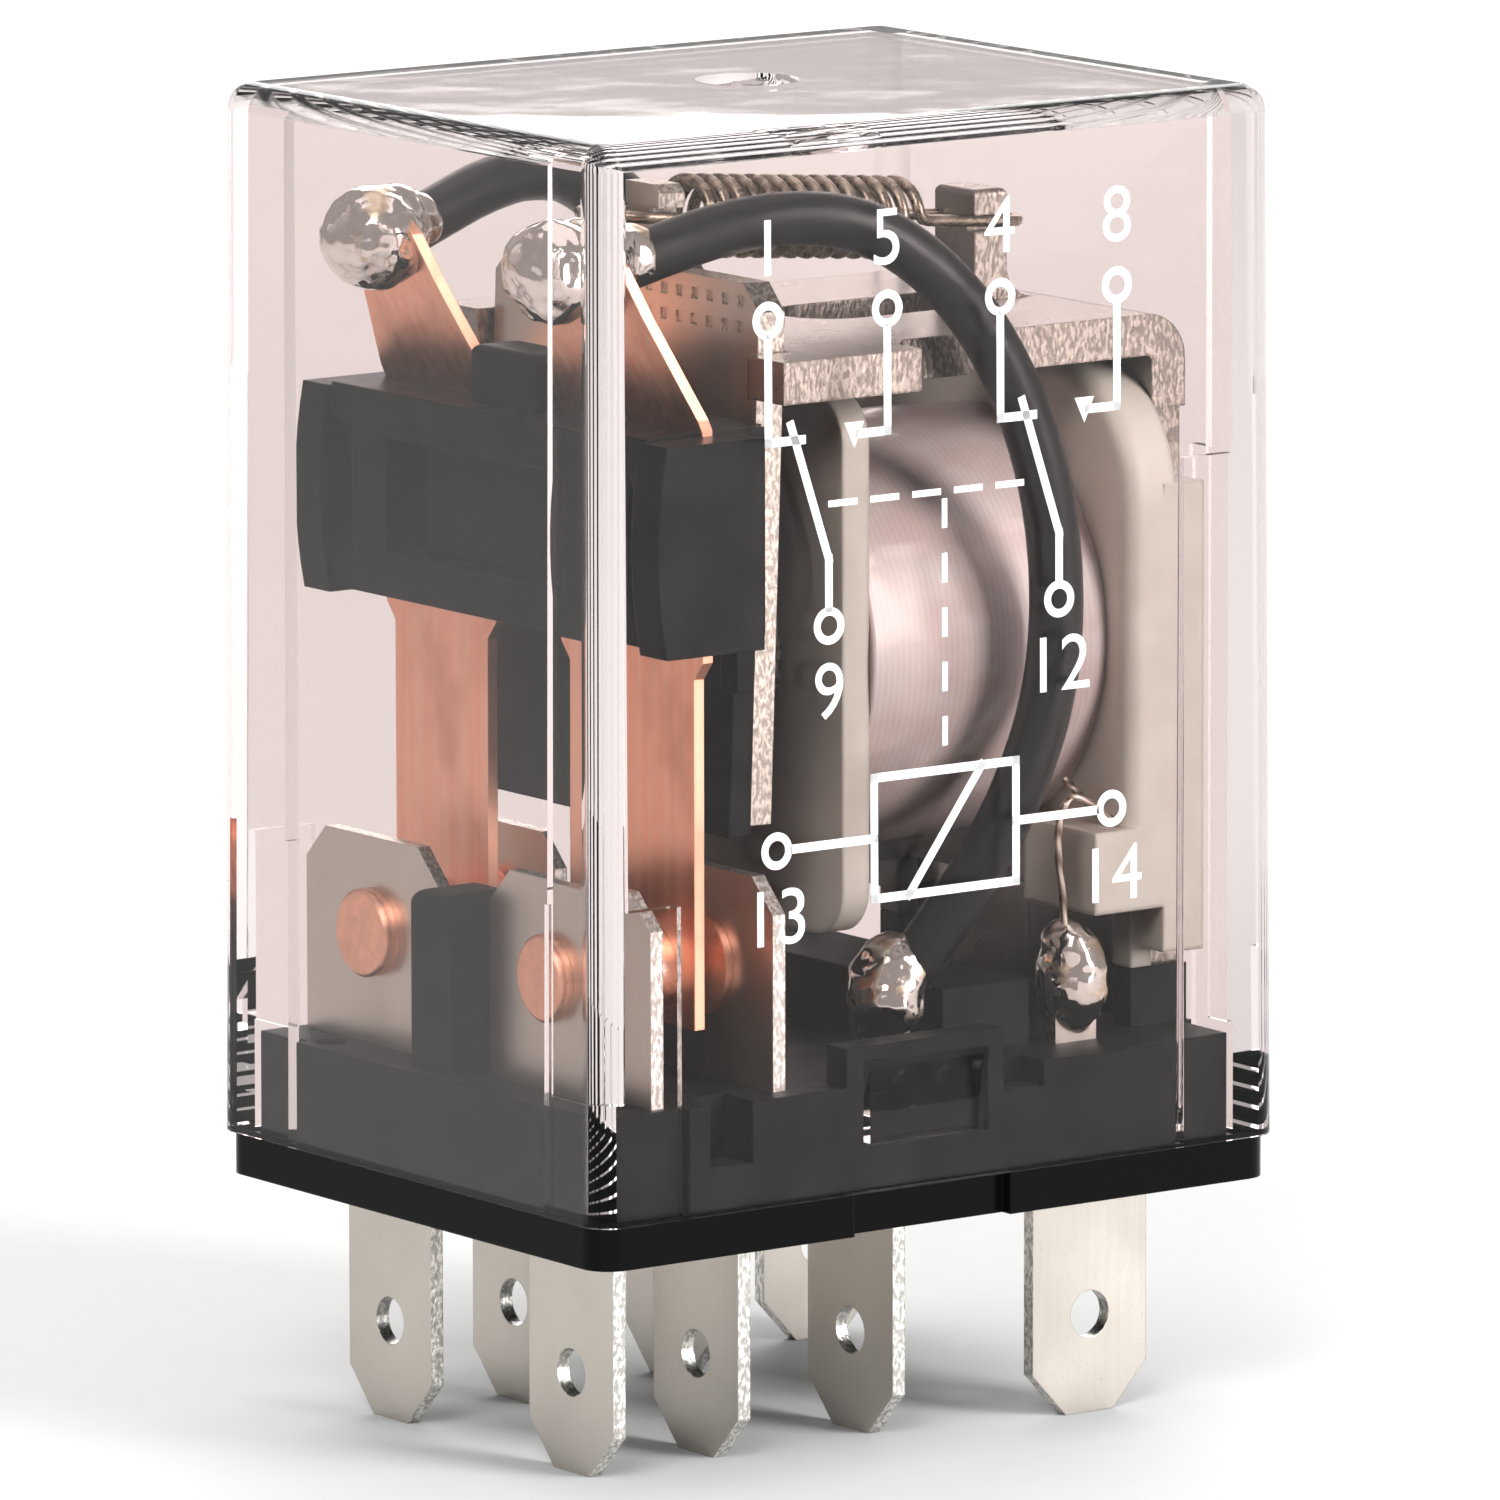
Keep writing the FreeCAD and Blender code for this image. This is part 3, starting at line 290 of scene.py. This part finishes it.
def moulding(name, colour, pale, rough, streak=(1, 1, 0.06), gloss_below=None):
    """Filled black moulding: fine streaks and a soft dusty variation, with an optional glossy foot."""
    look = Look(name)
    grain = look.noise(1300, streak, 2)
    dust = look.noise(420, detail=3)
    tone = look.mix(look.remap(dust, 0.35, 0.7), colour, pale)
    roughness = look.math("ADD", look.math("MULTIPLY", grain, 0.18), rough - 0.09)
    height = grain
    if gloss_below is not None:
        body = look.remap(look.height(), gloss_below - 0.05 * MM, gloss_below + 0.05 * MM)
        tone = look.mix(body, (0.0035, 0.0035, 0.004), tone)
        extra = look.math("MULTIPLY", body, look.math("SUBTRACT", roughness, GLOSSY_FOOT))
        roughness = look.math("ADD", extra, GLOSSY_FOOT)
        height = look.math("MULTIPLY", body, grain)
    look.surface(Base_Color=tone, Roughness=roughness, Specular_IOR_Level=0.06,
                 Normal=look.bump(height, 0.002 * MM, 0.2, 0.14 * MM))
    return look.material


def clear_cover():
    """Clear moulded polycarbonate with a faint warm tint; lamps reach what is behind it."""
    look = Look("clear_polycarbonate")
    swirl = look.noise(160, (1, 1, 0.35), 2)
    glass = look.add("BsdfPrincipled", {"Base Color": (0.840, 0.772, 0.762), "Roughness": 0.01, "IOR": 1.57,
                                        "Specular Tint": (0.15, 0.15, 0.15),
                                        "Transmission Weight": 1.0,
                                        "Normal": look.bump(swirl, 0.008 * MM, 0.25)})
    open_way = look.add("BsdfTransparent", {"Color": (0.985, 0.975, 0.97)})
    is_shadow = look.add("LightPath").outputs["Is Shadow Ray"]
    both = look.add("MixShader")
    look.feed(both.inputs[0], is_shadow)
    look.feed(both.inputs[1], glass.outputs[0])
    look.feed(both.inputs[2], open_way.outputs[0])
    look.feed(look.output.inputs["Surface"], both.outputs[0])
    return look.material


def nylon():
    """Cream nylon of the bobbin: softly translucent, with faint moulding clouds."""
    look = Look("cream_nylon")
    cloud = look.noise(380, detail=4)
    grain = look.noise(5000, detail=2)
    tone = look.mix(look.remap(cloud, 0.3, 0.7), (0.80, 0.73, 0.64), (0.89, 0.83, 0.75))
    look.surface(Base_Color=tone, Roughness=look.remap(cloud, 0.3, 0.7, 0.38, 0.5), Subsurface_Weight=0.18,
                 Subsurface_Radius=(0.0012, 0.0008, 0.0005), Subsurface_Scale=1.0,
                 Normal=look.bump(grain, 0.01 * MM, 0.4, 0.25 * MM))
    return look.material


def taped_winding():
    """Pink enamelled wire seen through tight glossy film: fine turns, faint wrinkles."""
    look = Look("taped_winding")
    turns = look.add("TexWave", {"Vector": look.place(), "Scale": 1300, "Distortion": 1.5, "Detail": 1.0},
                     bands_direction="X").outputs["Fac"]
    cloud = look.noise(300, (1, 1.6, 1.6), 4)
    crease = look.noise(420, (0.35, 1, 1), 3)
    tone = look.mix(look.remap(cloud, 0.32, 0.68), (0.86, 0.66, 0.64), (0.94, 0.81, 0.79))
    tone = look.mix(look.math("MULTIPLY", turns, 0.15), tone, (0.55, 0.33, 0.30))
    height = look.math("ADD", crease, look.math("MULTIPLY", turns, 0.05))
    look.surface(Base_Color=tone, Roughness=0.3, Coat_Weight=0.6, Coat_Roughness=0.1,
                 Subsurface_Weight=0.12, Subsurface_Radius=(0.001, 0.0005, 0.0004), Subsurface_Scale=1.0,
                 Normal=look.bump(height, 0.05 * MM, 0.4))
    return look.material


def wire_jacket():
    """Black PVC insulation: satin, with a fine drawn grain and pale scuffs."""
    look = Look("black_insulation")
    grain = look.noise(3500, detail=3)
    scuff = look.remap(look.noise(700, detail=5), 0.60, 0.75)
    tone = look.mix(scuff, (0.007, 0.007, 0.0075), (0.022, 0.022, 0.023))
    roughness = look.remap(grain, 0.3, 0.7, 0.30, 0.42)
    look.surface(Base_Color=tone, Roughness=roughness, Specular_IOR_Level=0.3,
                 Normal=look.bump(grain, 0.004 * MM, 0.4))
    return look.material


def printed_ink():
    """White pad-printed ink with a slightly uneven film."""
    look = Look("white_ink")
    patch = look.noise(1800, detail=4)
    tone = look.mix(look.remap(patch, 0.3, 0.7), (0.84, 0.84, 0.84), (0.95, 0.95, 0.95))
    look.surface(Base_Color=tone, Roughness=0.55, Normal=look.bump(patch, 0.004 * MM, 0.5))
    return look.material


def winding_wire():
    """Fine copper wire with painted highlights and painted shade in diagonal bands along its twist."""
    look = Look("twisted_wire")
    twist_and_painted_glint = look.add("TexWave", {"Vector": look.place(), "Scale": 900, "Distortion": 0.6},
                     bands_direction="DIAGONAL").outputs["Fac"]
    # painted highlight and painted shade: the colour runs from dark to bright in diagonal bands along the
    # twist
    tone = look.mix(twist_and_painted_glint, (0.26, 0.19, 0.14), (0.86, 0.76, 0.66))
    look.surface(Base_Color=tone, Metallic=1.0, Roughness=0.28, Normal=look.bump(twist_and_painted_glint, 0.05 * MM, 0.8))
    return look.material


def spring_wire():
    """Plated music wire: steel grey with warm drawn streaks."""
    look = Look("spring_wire")
    streak = look.noise(2400, (0.4, 1, 1), 3)
    tone = look.mix(look.remap(streak, 0.35, 0.65), (0.20, 0.165, 0.13), (0.48, 0.41, 0.33))
    look.surface(Base_Color=tone, Metallic=1.0, Roughness=look.remap(streak, 0.3, 0.7, 0.22, 0.34),
                 Normal=look.bump(streak, 0.01 * MM, 0.5))
    return look.material


def floor_paper():
    """Plain pale paper under the relay."""
    look = Look("pale_floor")
    fibre = look.noise(900, detail=3)
    tone = look.mix(fibre, (0.90, 0.90, 0.895), (0.93, 0.93, 0.925))
    look.surface(Base_Color=tone, Roughness=0.85, Specular_IOR_Level=0.2,
                 Normal=look.bump(fibre, 0.02 * MM, 0.2))
    return look.material


# ---------------------------------------------------------------- mesh helpers

def new_piece(name, mesh, material, body=None, replaces=(), smooth=True):
    """A visible piece with one material, riding a body and standing in for CAD nodes where given."""
    piece = bpy.data.objects.new(name, mesh)
    bpy.context.scene.collection.objects.link(piece)
    mesh.materials.clear()
    mesh.materials.append(material)
    if smooth:
        mesh.polygons.foreach_set("use_smooth", [True] * len(mesh.polygons))
    if body:
        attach(piece, body)
    if replaces:
        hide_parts(*replaces)
    return piece


def mesh_of(thing):
    """The evaluated mesh of an object, in the row frame; the object is dropped."""
    bpy.context.view_layer.update()
    graph = bpy.context.evaluated_depsgraph_get()
    mesh = bpy.data.meshes.new_from_object(thing.evaluated_get(graph))
    mesh.transform(thing.matrix_world)
    bpy.data.objects.remove(thing)
    return mesh


def nurbs(name, points, depth=0.0, order=3, sides=5, per_span=8):
    """A NURBS curve object through a few given control points, in metres."""
    data = bpy.data.curves.new(name, "CURVE")
    data.dimensions = "3D"
    line = data.splines.new("NURBS")
    line.points.add(len(points) - 1)
    for point, place in zip(line.points, points):
        point.co = (*place, 1)
    line.order_u = order
    line.use_endpoint_u = True
    line.resolution_u = per_span
    data.resolution_u = per_span
    data.bevel_depth = depth
    data.bevel_resolution = sides
    data.use_fill_caps = depth > 0
    thing = bpy.data.objects.new(name, data)
    bpy.context.scene.collection.objects.link(thing)
    return thing


def in_metres(points, side=-1):
    """Pole 1's millimetre route in metres, or its mirror image for pole 2."""
    return [(x * MM, (y if side < 0 else -y) * MM, z * MM) for x, y, z in points]


# ---------------------------------------------------------------- leads

PIGTAIL_RADIUS = 0.9 * MM
PIGTAIL_ROUTE = [
    (-9.4, -5.45, 32.0),
    (-7.8, -5.75, 32.5),
    (-5.7, -6.3, 33.1),
    (-3.4, -6.95, 33.35),
    (-1.0, -7.6, 32.95),
    (1.2, -8.15, 31.5),
    (3.0, -8.6, 29.4),
    (4.5, -8.85, 26.6),
    (5.5, -8.95, 23.4),
    (5.85, -8.95, 20.0),
    (5.55, -8.9, 16.9),
    (4.6, -8.65, 14.0),
    (3.3, -8.1, 11.3),
    (2.2, -7.3, 9.2),
    (1.35, -6.7, 7.75),
]
LEAD_RADIUS = 0.13 * MM
COIL_LEAD_ROUTE = [
    (8.7, -5.6, 13.3),
    (8.8, -6.4, 12.75),
    (8.9, -7.2, 12.4),
    (8.9, -8.1, 12.2),
    (8.3, -8.6, 12.3),
    (7.5, -8.65, 13.1),
    (6.6, -8.6, 13.4),
    (6.2, -8.5, 12.6),
    (6.3, -8.35, 11.3),
    (6.7, -8.1, 10.1),
    (7.0, -7.8, 8.9),
]


def leads():
    """Both pigtails, laid between the bodies, and both fine coil wires."""
    jacket, wire = wire_jacket(), winding_wire()
    for pole, side in POLES.items():
        route = in_metres(PIGTAIL_ROUTE, side)
        tube = mesh_of(nurbs(f"pigtail_curve_{pole}", route, PIGTAIL_RADIUS, sides=6))
        piece = new_piece(f"pigtail_lead_{pole}", tube, jacket, None, (f"pigtail_{pole}",))
        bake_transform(piece)
        thin_route = in_metres(COIL_LEAD_ROUTE, side)
        thin = mesh_of(nurbs(f"coil_wire_curve_{pole}", thin_route, LEAD_RADIUS, sides=3))
        new_piece(f"coil_wire_{pole}", thin, wire, FIXED, (f"coil_lead_{pole}",))


# ---------------------------------------------------------------- return spring

SPRING_FRONT, SPRING_BACK = Vector((-4.78, 0, 32.75)), Vector((9.68, 0, 31.5))
SPRING_RADIUS, SPRING_WIRE, SPRING_PITCH, SPRING_TURNS = 1.24, 0.21, 0.66, 14
HOOK_RADIUS, COIL_START = 1.0, 1.5
POINTS_PER_TURN, POINTS_PER_HOOK = 16, 8


def hook(centre, start):
    """Half a turn of wire round a point on the spring's line, from a start angle; mm."""
    turns = [start + math.pi * step / POINTS_PER_HOOK for step in range(POINTS_PER_HOOK + 1)]
    return [(centre + HOOK_RADIUS * math.cos(turn), HOOK_RADIUS * math.sin(turn), 0) for turn in turns]


def spring_line():
    """One wire: hook round the armature's tab, coil, hook round the yoke's post; mm, x along the spring."""
    span = (SPRING_BACK - SPRING_FRONT).length
    coil_end = COIL_START + SPRING_TURNS * SPRING_PITCH
    points = [(COIL_START - 0.15, HOOK_RADIUS, 0), (0.7, HOOK_RADIUS, 0)]
    points += hook(0, math.pi / 2)
    points.append((0.8, -HOOK_RADIUS, 0))
    for step in range(SPRING_TURNS * POINTS_PER_TURN + 1):
        turn = math.pi + 2 * math.pi * step / POINTS_PER_TURN
        points.append((COIL_START + SPRING_PITCH * step / POINTS_PER_TURN,
                       SPRING_RADIUS * math.cos(turn), SPRING_RADIUS * math.sin(turn)))
    points.append((coil_end + 0.7, -HOOK_RADIUS, 0))
    points += hook(span, -math.pi / 2)
    points += [(coil_end + 1.0, HOOK_RADIUS, 0), (coil_end + 0.15, HOOK_RADIUS, 0)]
    along = (SPRING_BACK - SPRING_FRONT).normalized()
    across = Vector((0, 1, 0))
    up = along.cross(across)
    return [(SPRING_FRONT + along * x + across * y + up * z) * MM for x, y, z in points]


def spring():
    """The return spring's wire, stretched between the armature and the yoke."""
    coil = mesh_of(nurbs("spring_curve", spring_line(), SPRING_WIRE * MM, order=4, sides=3, per_span=2))
    piece = new_piece("return_spring_wire", coil, spring_wire(), None, ("return_spring",))
    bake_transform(piece)


# ---------------------------------------------------------------- solder joints

VOXEL = 0.11 * MM
SMOOTH_FACTOR, SMOOTH_TURNS = 0.8, 14
WAVE, RIPPLE = 0.15, 0.045          # heights of the broad and the fine unevenness, mm
WAVE_LENGTH, RIPPLE_LENGTH = 0.9 * MM, 0.35 * MM
SOLDER = (      # piece, CAD node, body, noise seed, lumps on the +Y side as (centre, radii) in mm
    ("blade_joint", "blade_solder", MOVING, 3.1, (((-10.85, 5.2, 31.95), (1.64, 1.93, 1.75)),
                                                  ((-9.9, 5.3, 32.3), (1.1, 1.35, 1.3)),
                                                  ((-9.0, 5.5, 32.35), (1.0, 1.05, 1.05)))),
    ("common_joint", "com_solder", FIXED, 7.7, (((0.65, 6.35, 7.0), (1.25, 1.5, 1.7)),
                                                ((0.95, 6.5, 7.9), (1.15, 1.25, 1.2)),
                                                ((0.7, 6.1, 5.9), (0.8, 1.3, 1.0)))),
    ("coil_joint", "coil_solder", FIXED, 11.3, (((7.45, 7.6, 7.0), (1.15, 1.35, 1.9)),
                                                ((7.15, 7.7, 8.2), (0.75, 0.95, 0.9)))),
)


def solder_blob(name, lumps, material, body, node, seed):
    """Lumps of molten metal drawn together into one rounded joint with small ripples."""
    whole = bmesh.new()
    for centre, radii in lumps:
        shape = Matrix.Translation(Vector(centre) * MM) @ Matrix.Diagonal((*(Vector(radii) * MM), 1))
        bmesh.ops.create_icosphere(whole, subdivisions=4, radius=1.0, matrix=shape)
    mesh = bpy.data.meshes.new(name)
    whole.to_mesh(mesh)
    whole.free()
    thing = bpy.data.objects.new(name + "_draft", mesh)
    bpy.context.scene.collection.objects.link(thing)
    remesh = thing.modifiers.new("join", "REMESH")
    remesh.mode, remesh.voxel_size = "VOXEL", VOXEL
    smooth = thing.modifiers.new("draw_together", "SMOOTH")
    smooth.factor, smooth.iterations = SMOOTH_FACTOR, SMOOTH_TURNS
    mesh = mesh_of(thing)
    for vertex in mesh.vertices:
        wave = noise.noise(vertex.co / WAVE_LENGTH + Vector((seed, 0, 0)))
        ripple = noise.noise(vertex.co / RIPPLE_LENGTH + Vector((0, seed, 0)))
        vertex.co += vertex.normal * (WAVE * wave + RIPPLE * ripple) * MM
    new_piece(name, mesh, material, body, (node,))


def solder_joints():
    """The blade, common and coil joints of both poles."""
    metal = solder_metal()
    for pole, side in POLES.items():
        for piece, node, body, seed, lumps in SOLDER:
            placed = [((x, y * side, z), radii) for (x, y, z), radii in lumps]
            solder_blob(f"{piece}_{pole}", placed, metal, body, f"{node}_{pole}", seed * pole)


# ---------------------------------------------------------------- taped winding

TAPE_RINGS, TAPE_SPOKES = 60, 220
TAPE_INSET, TAPE_CROWN, TAPE_WRINKLE, TAPE_LAP = 0.11 * MM, 0.10 * MM, 0.0405 * MM, 0.05 * MM
TAPE_BORE = 0.93            # share of the outer radius
WRINKLE_LENGTH, WRINKLES_ROUND = 1.1 * MM, 2.6
LAP_START, LAP_END, LAP_SLANT = 0.2, 0.42, 0.02         # turns


def tape():
    """Film round the winding: a slightly crowned barrel with shallow wrinkles and a lapped end."""
    low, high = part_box("winding_tape")
    axis = (low.z + high.z) / 2
    radius = (high.z - low.z) / 2
    drawn = bmesh.new()
    turns = [2 * math.pi * j / TAPE_SPOKES for j in range(TAPE_SPOKES)]
    rings = []
    for i in range(TAPE_RINGS + 1):
        share = i / TAPE_RINGS
        x = low.x + share * (high.x - low.x)
        crown = TAPE_CROWN * (2 * share - 1) ** 4
        ring = []
        for turn in turns:
            around = (WRINKLES_ROUND * math.cos(turn), WRINKLES_ROUND * math.sin(turn))
            wrinkle = TAPE_WRINKLE * noise.noise(Vector((x / WRINKLE_LENGTH, *around)))
            lapped = LAP_START < (turn / math.tau + LAP_SLANT * share) % 1 < LAP_END
            reach = radius - TAPE_INSET - crown + wrinkle + (TAPE_LAP if lapped else 0)
            ring.append(drawn.verts.new((x, reach * math.cos(turn), axis + reach * math.sin(turn))))
        rings.append(ring)
    bore = TAPE_BORE * radius
    for x in (high.x, low.x):
        rings.append([drawn.verts.new((x, bore * math.cos(turn), axis + bore * math.sin(turn)))
                      for turn in turns])
    for a, b in zip(rings, rings[1:] + rings[:1]):
        for j in range(TAPE_SPOKES):
            k = (j + 1) % TAPE_SPOKES
            drawn.faces.new((a[j], b[j], b[k], a[k]))
    bmesh.ops.recalc_face_normals(drawn, faces=drawn.faces)
    mesh = bpy.data.meshes.new("winding_film")
    drawn.to_mesh(mesh)
    drawn.free()
    new_piece("winding_film", mesh, taped_winding(), FIXED, ("winding_tape",))


# ---------------------------------------------------------------- contact diagram on the cover

COVER_DRAFT = 0.2           # how far each side leans in over the cover's height, mm
INK_LIFT, INK_DEPTH = 0.012, 0.012
NUMBER_HEIGHT, NUMBER_GAP, FONT_PER_HEIGHT = 1.9, 2.25, 1.4
TERMINAL_RADIUS, DASH_WIDTH = 0.62, 0.22
CONTACT_RISE, COMMON_RISE, ELBOW_RISE = 30.6, 20.4, 26.6        # heights on the cover, mm
COIL_HALF, COIL_LOW, COIL_HIGH, COIL_TERMINAL = 2.9, 11.2, 15.2, 6.85


class Print:
    """Flat shapes drawn on the cover's -Y face in x and z millimetres."""

    def __init__(self):
        self.drawn = bmesh.new()

    def shape(self, corners):
        self.drawn.faces.new([self.drawn.verts.new((x, 0, z)) for x, z in corners])

    def stroke(self, a, b, width=0.3):
        along = Vector((b[0] - a[0], b[1] - a[1])).normalized() * width / 2
        side = Vector((-along.y, along.x))
        a, b = Vector(a) - along, Vector(b) + along
        self.shape([a + side, a - side, b - side, b + side])

    def path(self, points, width=0.3):
        for a, b in zip(points, points[1:]):
            self.stroke(a, b, width)

    def ring(self, centre, radius, width=0.28, sides=28):
        for k in range(sides):
            turns = [2 * math.pi * (k + step) / sides for step in (0, 1)]
            inner = [(centre[0] + (radius - width) * math.cos(t), centre[1] + (radius - width) * math.sin(t))
                     for t in turns]
            outer = [(centre[0] + radius * math.cos(t), centre[1] + radius * math.sin(t)) for t in turns]
            self.shape([inner[0], outer[0], outer[1], inner[1]])

    def number(self, text, centre):
        data = bpy.data.curves.new("terminal_number", "FONT")
        data.body, data.size = text, NUMBER_HEIGHT * FONT_PER_HEIGHT
        data.align_x, data.align_y = "CENTER", "CENTER"
        data.resolution_u = 5
        thing = bpy.data.objects.new("terminal_number", data)
        bpy.context.scene.collection.objects.link(thing)
        mesh = mesh_of(thing)
        mesh.transform(Matrix.Translation((centre[0], 0, centre[1])) @ Matrix.Rotation(math.pi / 2, 4, "X"))
        self.drawn.from_mesh(mesh)
        bpy.data.meshes.remove(mesh)


def changeover(sheet, x, numbers):
    """One changeover contact: closed and open terminals above, the common one and its lever below."""
    closed, opened, common = (x - 2.4, CONTACT_RISE), (x + 2.4, CONTACT_RISE), (x, COMMON_RISE)
    for place, number, drop in ((closed, numbers[0], 1), (opened, numbers[1], 1), (common, numbers[2], -1)):
        sheet.ring(place, TERMINAL_RADIUS)
        sheet.number(number, (place[0], place[1] + NUMBER_GAP * drop))
    for (across, rise), reach in ((closed, 1.35), (opened, -1.2)):
        sheet.path([(across, rise - 0.6), (across, ELBOW_RISE), (across + reach, ELBOW_RISE)])
    sheet.shape([(opened[0] - 1.35, 26.15), (opened[0] - 0.95, 27.0), (opened[0] - 1.75, 27.0)])
    sheet.path([(common[0], common[1] + 0.6), (common[0], 22.6), (x - 1.5, 27.1)])


def contact_diagram():
    """The printed wiring diagram: two changeover contacts linked by dashes, with the coil below."""
    low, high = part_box("dust_cover")
    sheet = Print()
    for x, numbers in ((-4.7, ("1", "5", "9")), (4.7, ("4", "8", "12"))):
        changeover(sheet, x, numbers)
    for start in (-4.6, -2.9, -1.2, 0.5, 2.2):
        sheet.stroke((start, 24.4), (start + 0.95, 24.4), DASH_WIDTH)
    for rise in (16.1, 17.9, 19.7, 21.5, 23.3):
        sheet.stroke((0.0, rise), (0.0, rise + 0.75), DASH_WIDTH)
    sheet.path([(-COIL_HALF, COIL_LOW), (COIL_HALF, COIL_LOW), (COIL_HALF, COIL_HIGH),
                (-COIL_HALF, COIL_HIGH), (-COIL_HALF, COIL_LOW)])
    sheet.stroke((-1.5, COIL_LOW), (1.5, COIL_HIGH))
    middle = (COIL_LOW + COIL_HIGH) / 2
    for side, number in ((-1, "13"), (1, "14")):
        sheet.stroke((COIL_HALF * side, middle), (6.2 * side, middle))
        sheet.ring((COIL_TERMINAL * side, middle), TERMINAL_RADIUS)
        sheet.number(number, (COIL_TERMINAL * side, 10.9))
    mesh = bpy.data.meshes.new("contact_diagram")
    sheet.drawn.to_mesh(mesh)
    sheet.drawn.free()
    height = (high.z - low.z) / MM
    for vertex in mesh.vertices:
        x, z = vertex.co.x, vertex.co.z
        lean = COVER_DRAFT * (z - low.z / MM) / height
        vertex.co = (x * MM, low.y + (lean - INK_LIFT) * MM, z * MM)
    thing = bpy.data.objects.new("contact_diagram_draft", mesh)
    bpy.context.scene.collection.objects.link(thing)
    film = thing.modifiers.new("film", "SOLIDIFY")
    film.thickness, film.offset = INK_DEPTH * MM, 0.0
    new_piece("contact_diagram", mesh_of(thing), printed_ink(), FIXED, smooth=False)


# ---------------------------------------------------------------- the CAD nodes' finishes

def dress(nodes, material):
    """Gives CAD nodes one material in place of their own."""
    for node in nodes:
        mesh = NODES[node].data
        mesh.materials.clear()
        mesh.materials.append(material)


def per_pole(*names):
    return [f"{name}_{pole}" for name in names for pole in POLES]


def finishes():
    """Materials of the CAD nodes that show as they are."""
    tin, tin_edge = (0.62, 0.575, 0.52), (0.90, 0.87, 0.82)
    nickel, nickel_edge = (0.29, 0.262, 0.24), (0.50, 0.45, 0.405)
    dress(per_pole("nc_terminal", "no_terminal", "com_terminal"), plated("tinned_plate", "X", tin, tin_edge))
    dress(per_pole("coil_terminal"), plated("tinned_coil_plate", "Y", tin, tin_edge))
    dress(["yoke"], plated("nickel_yoke", "Y", nickel, nickel_edge, 0.27, 0.12 * MM, edges_face_axis=True))
    dress(["armature"], plated("nickel_armature", "X", (0.55, 0.50, 0.44), (0.78, 0.73, 0.66), 0.30))
    dress(["core"], plated("soft_iron", "X", (0.50, 0.47, 0.44), (0.6, 0.57, 0.53), 0.36))
    dress(per_pole("moving_blade"), copper_strip("copper_blade", "X"))
    dress(["shading_ring"], copper_rivet("copper_ring", (0.80, 0.38, 0.25), 0.3))
    dress(per_pole("nc_contact", "no_contact"), copper_rivet("copper_rivet", (0.97, 0.52, 0.36), 0.30))
    dress(per_pole("moving_contact"), copper_rivet("silvered_rivet", (0.86, 0.66, 0.56), 0.16))
    dress(["base"], moulding("phenolic_base", (0.013, 0.0132, 0.0142), (0.026, 0.026, 0.0275), 0.46,
                             gloss_below=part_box("dust_cover")[0].z))
    dress(["contact_carrier"], moulding("black_carrier", (0.012, 0.0125, 0.014), (0.026, 0.026, 0.028), 0.36))
    dress(["bobbin"], nylon())
    dress(["winding"], taped_winding())
    dress(["dust_cover"], clear_cover())


FLOOR_HALF = 3.0            # metres


def floor():
    """A wide sheet under the blades' tips."""
    low, _ = CAD_BOX
    drawn = bmesh.new()
    corners = [(x * FLOOR_HALF, y * FLOOR_HALF) for x, y in ((-1, -1), (1, -1), (1, 1), (-1, 1))]
    drawn.faces.new([drawn.verts.new((x, y, low.z)) for x, y in corners])
    mesh = bpy.data.meshes.new("floor")
    drawn.to_mesh(mesh)
    drawn.free()
    thing = bpy.data.objects.new("floor", mesh)
    mesh.materials.append(floor_paper())
    bpy.context.scene.collection.objects.link(thing)


set_camera()
set_light()
floor()
finishes()
leads()
spring()
solder_joints()
tape()
contact_diagram()
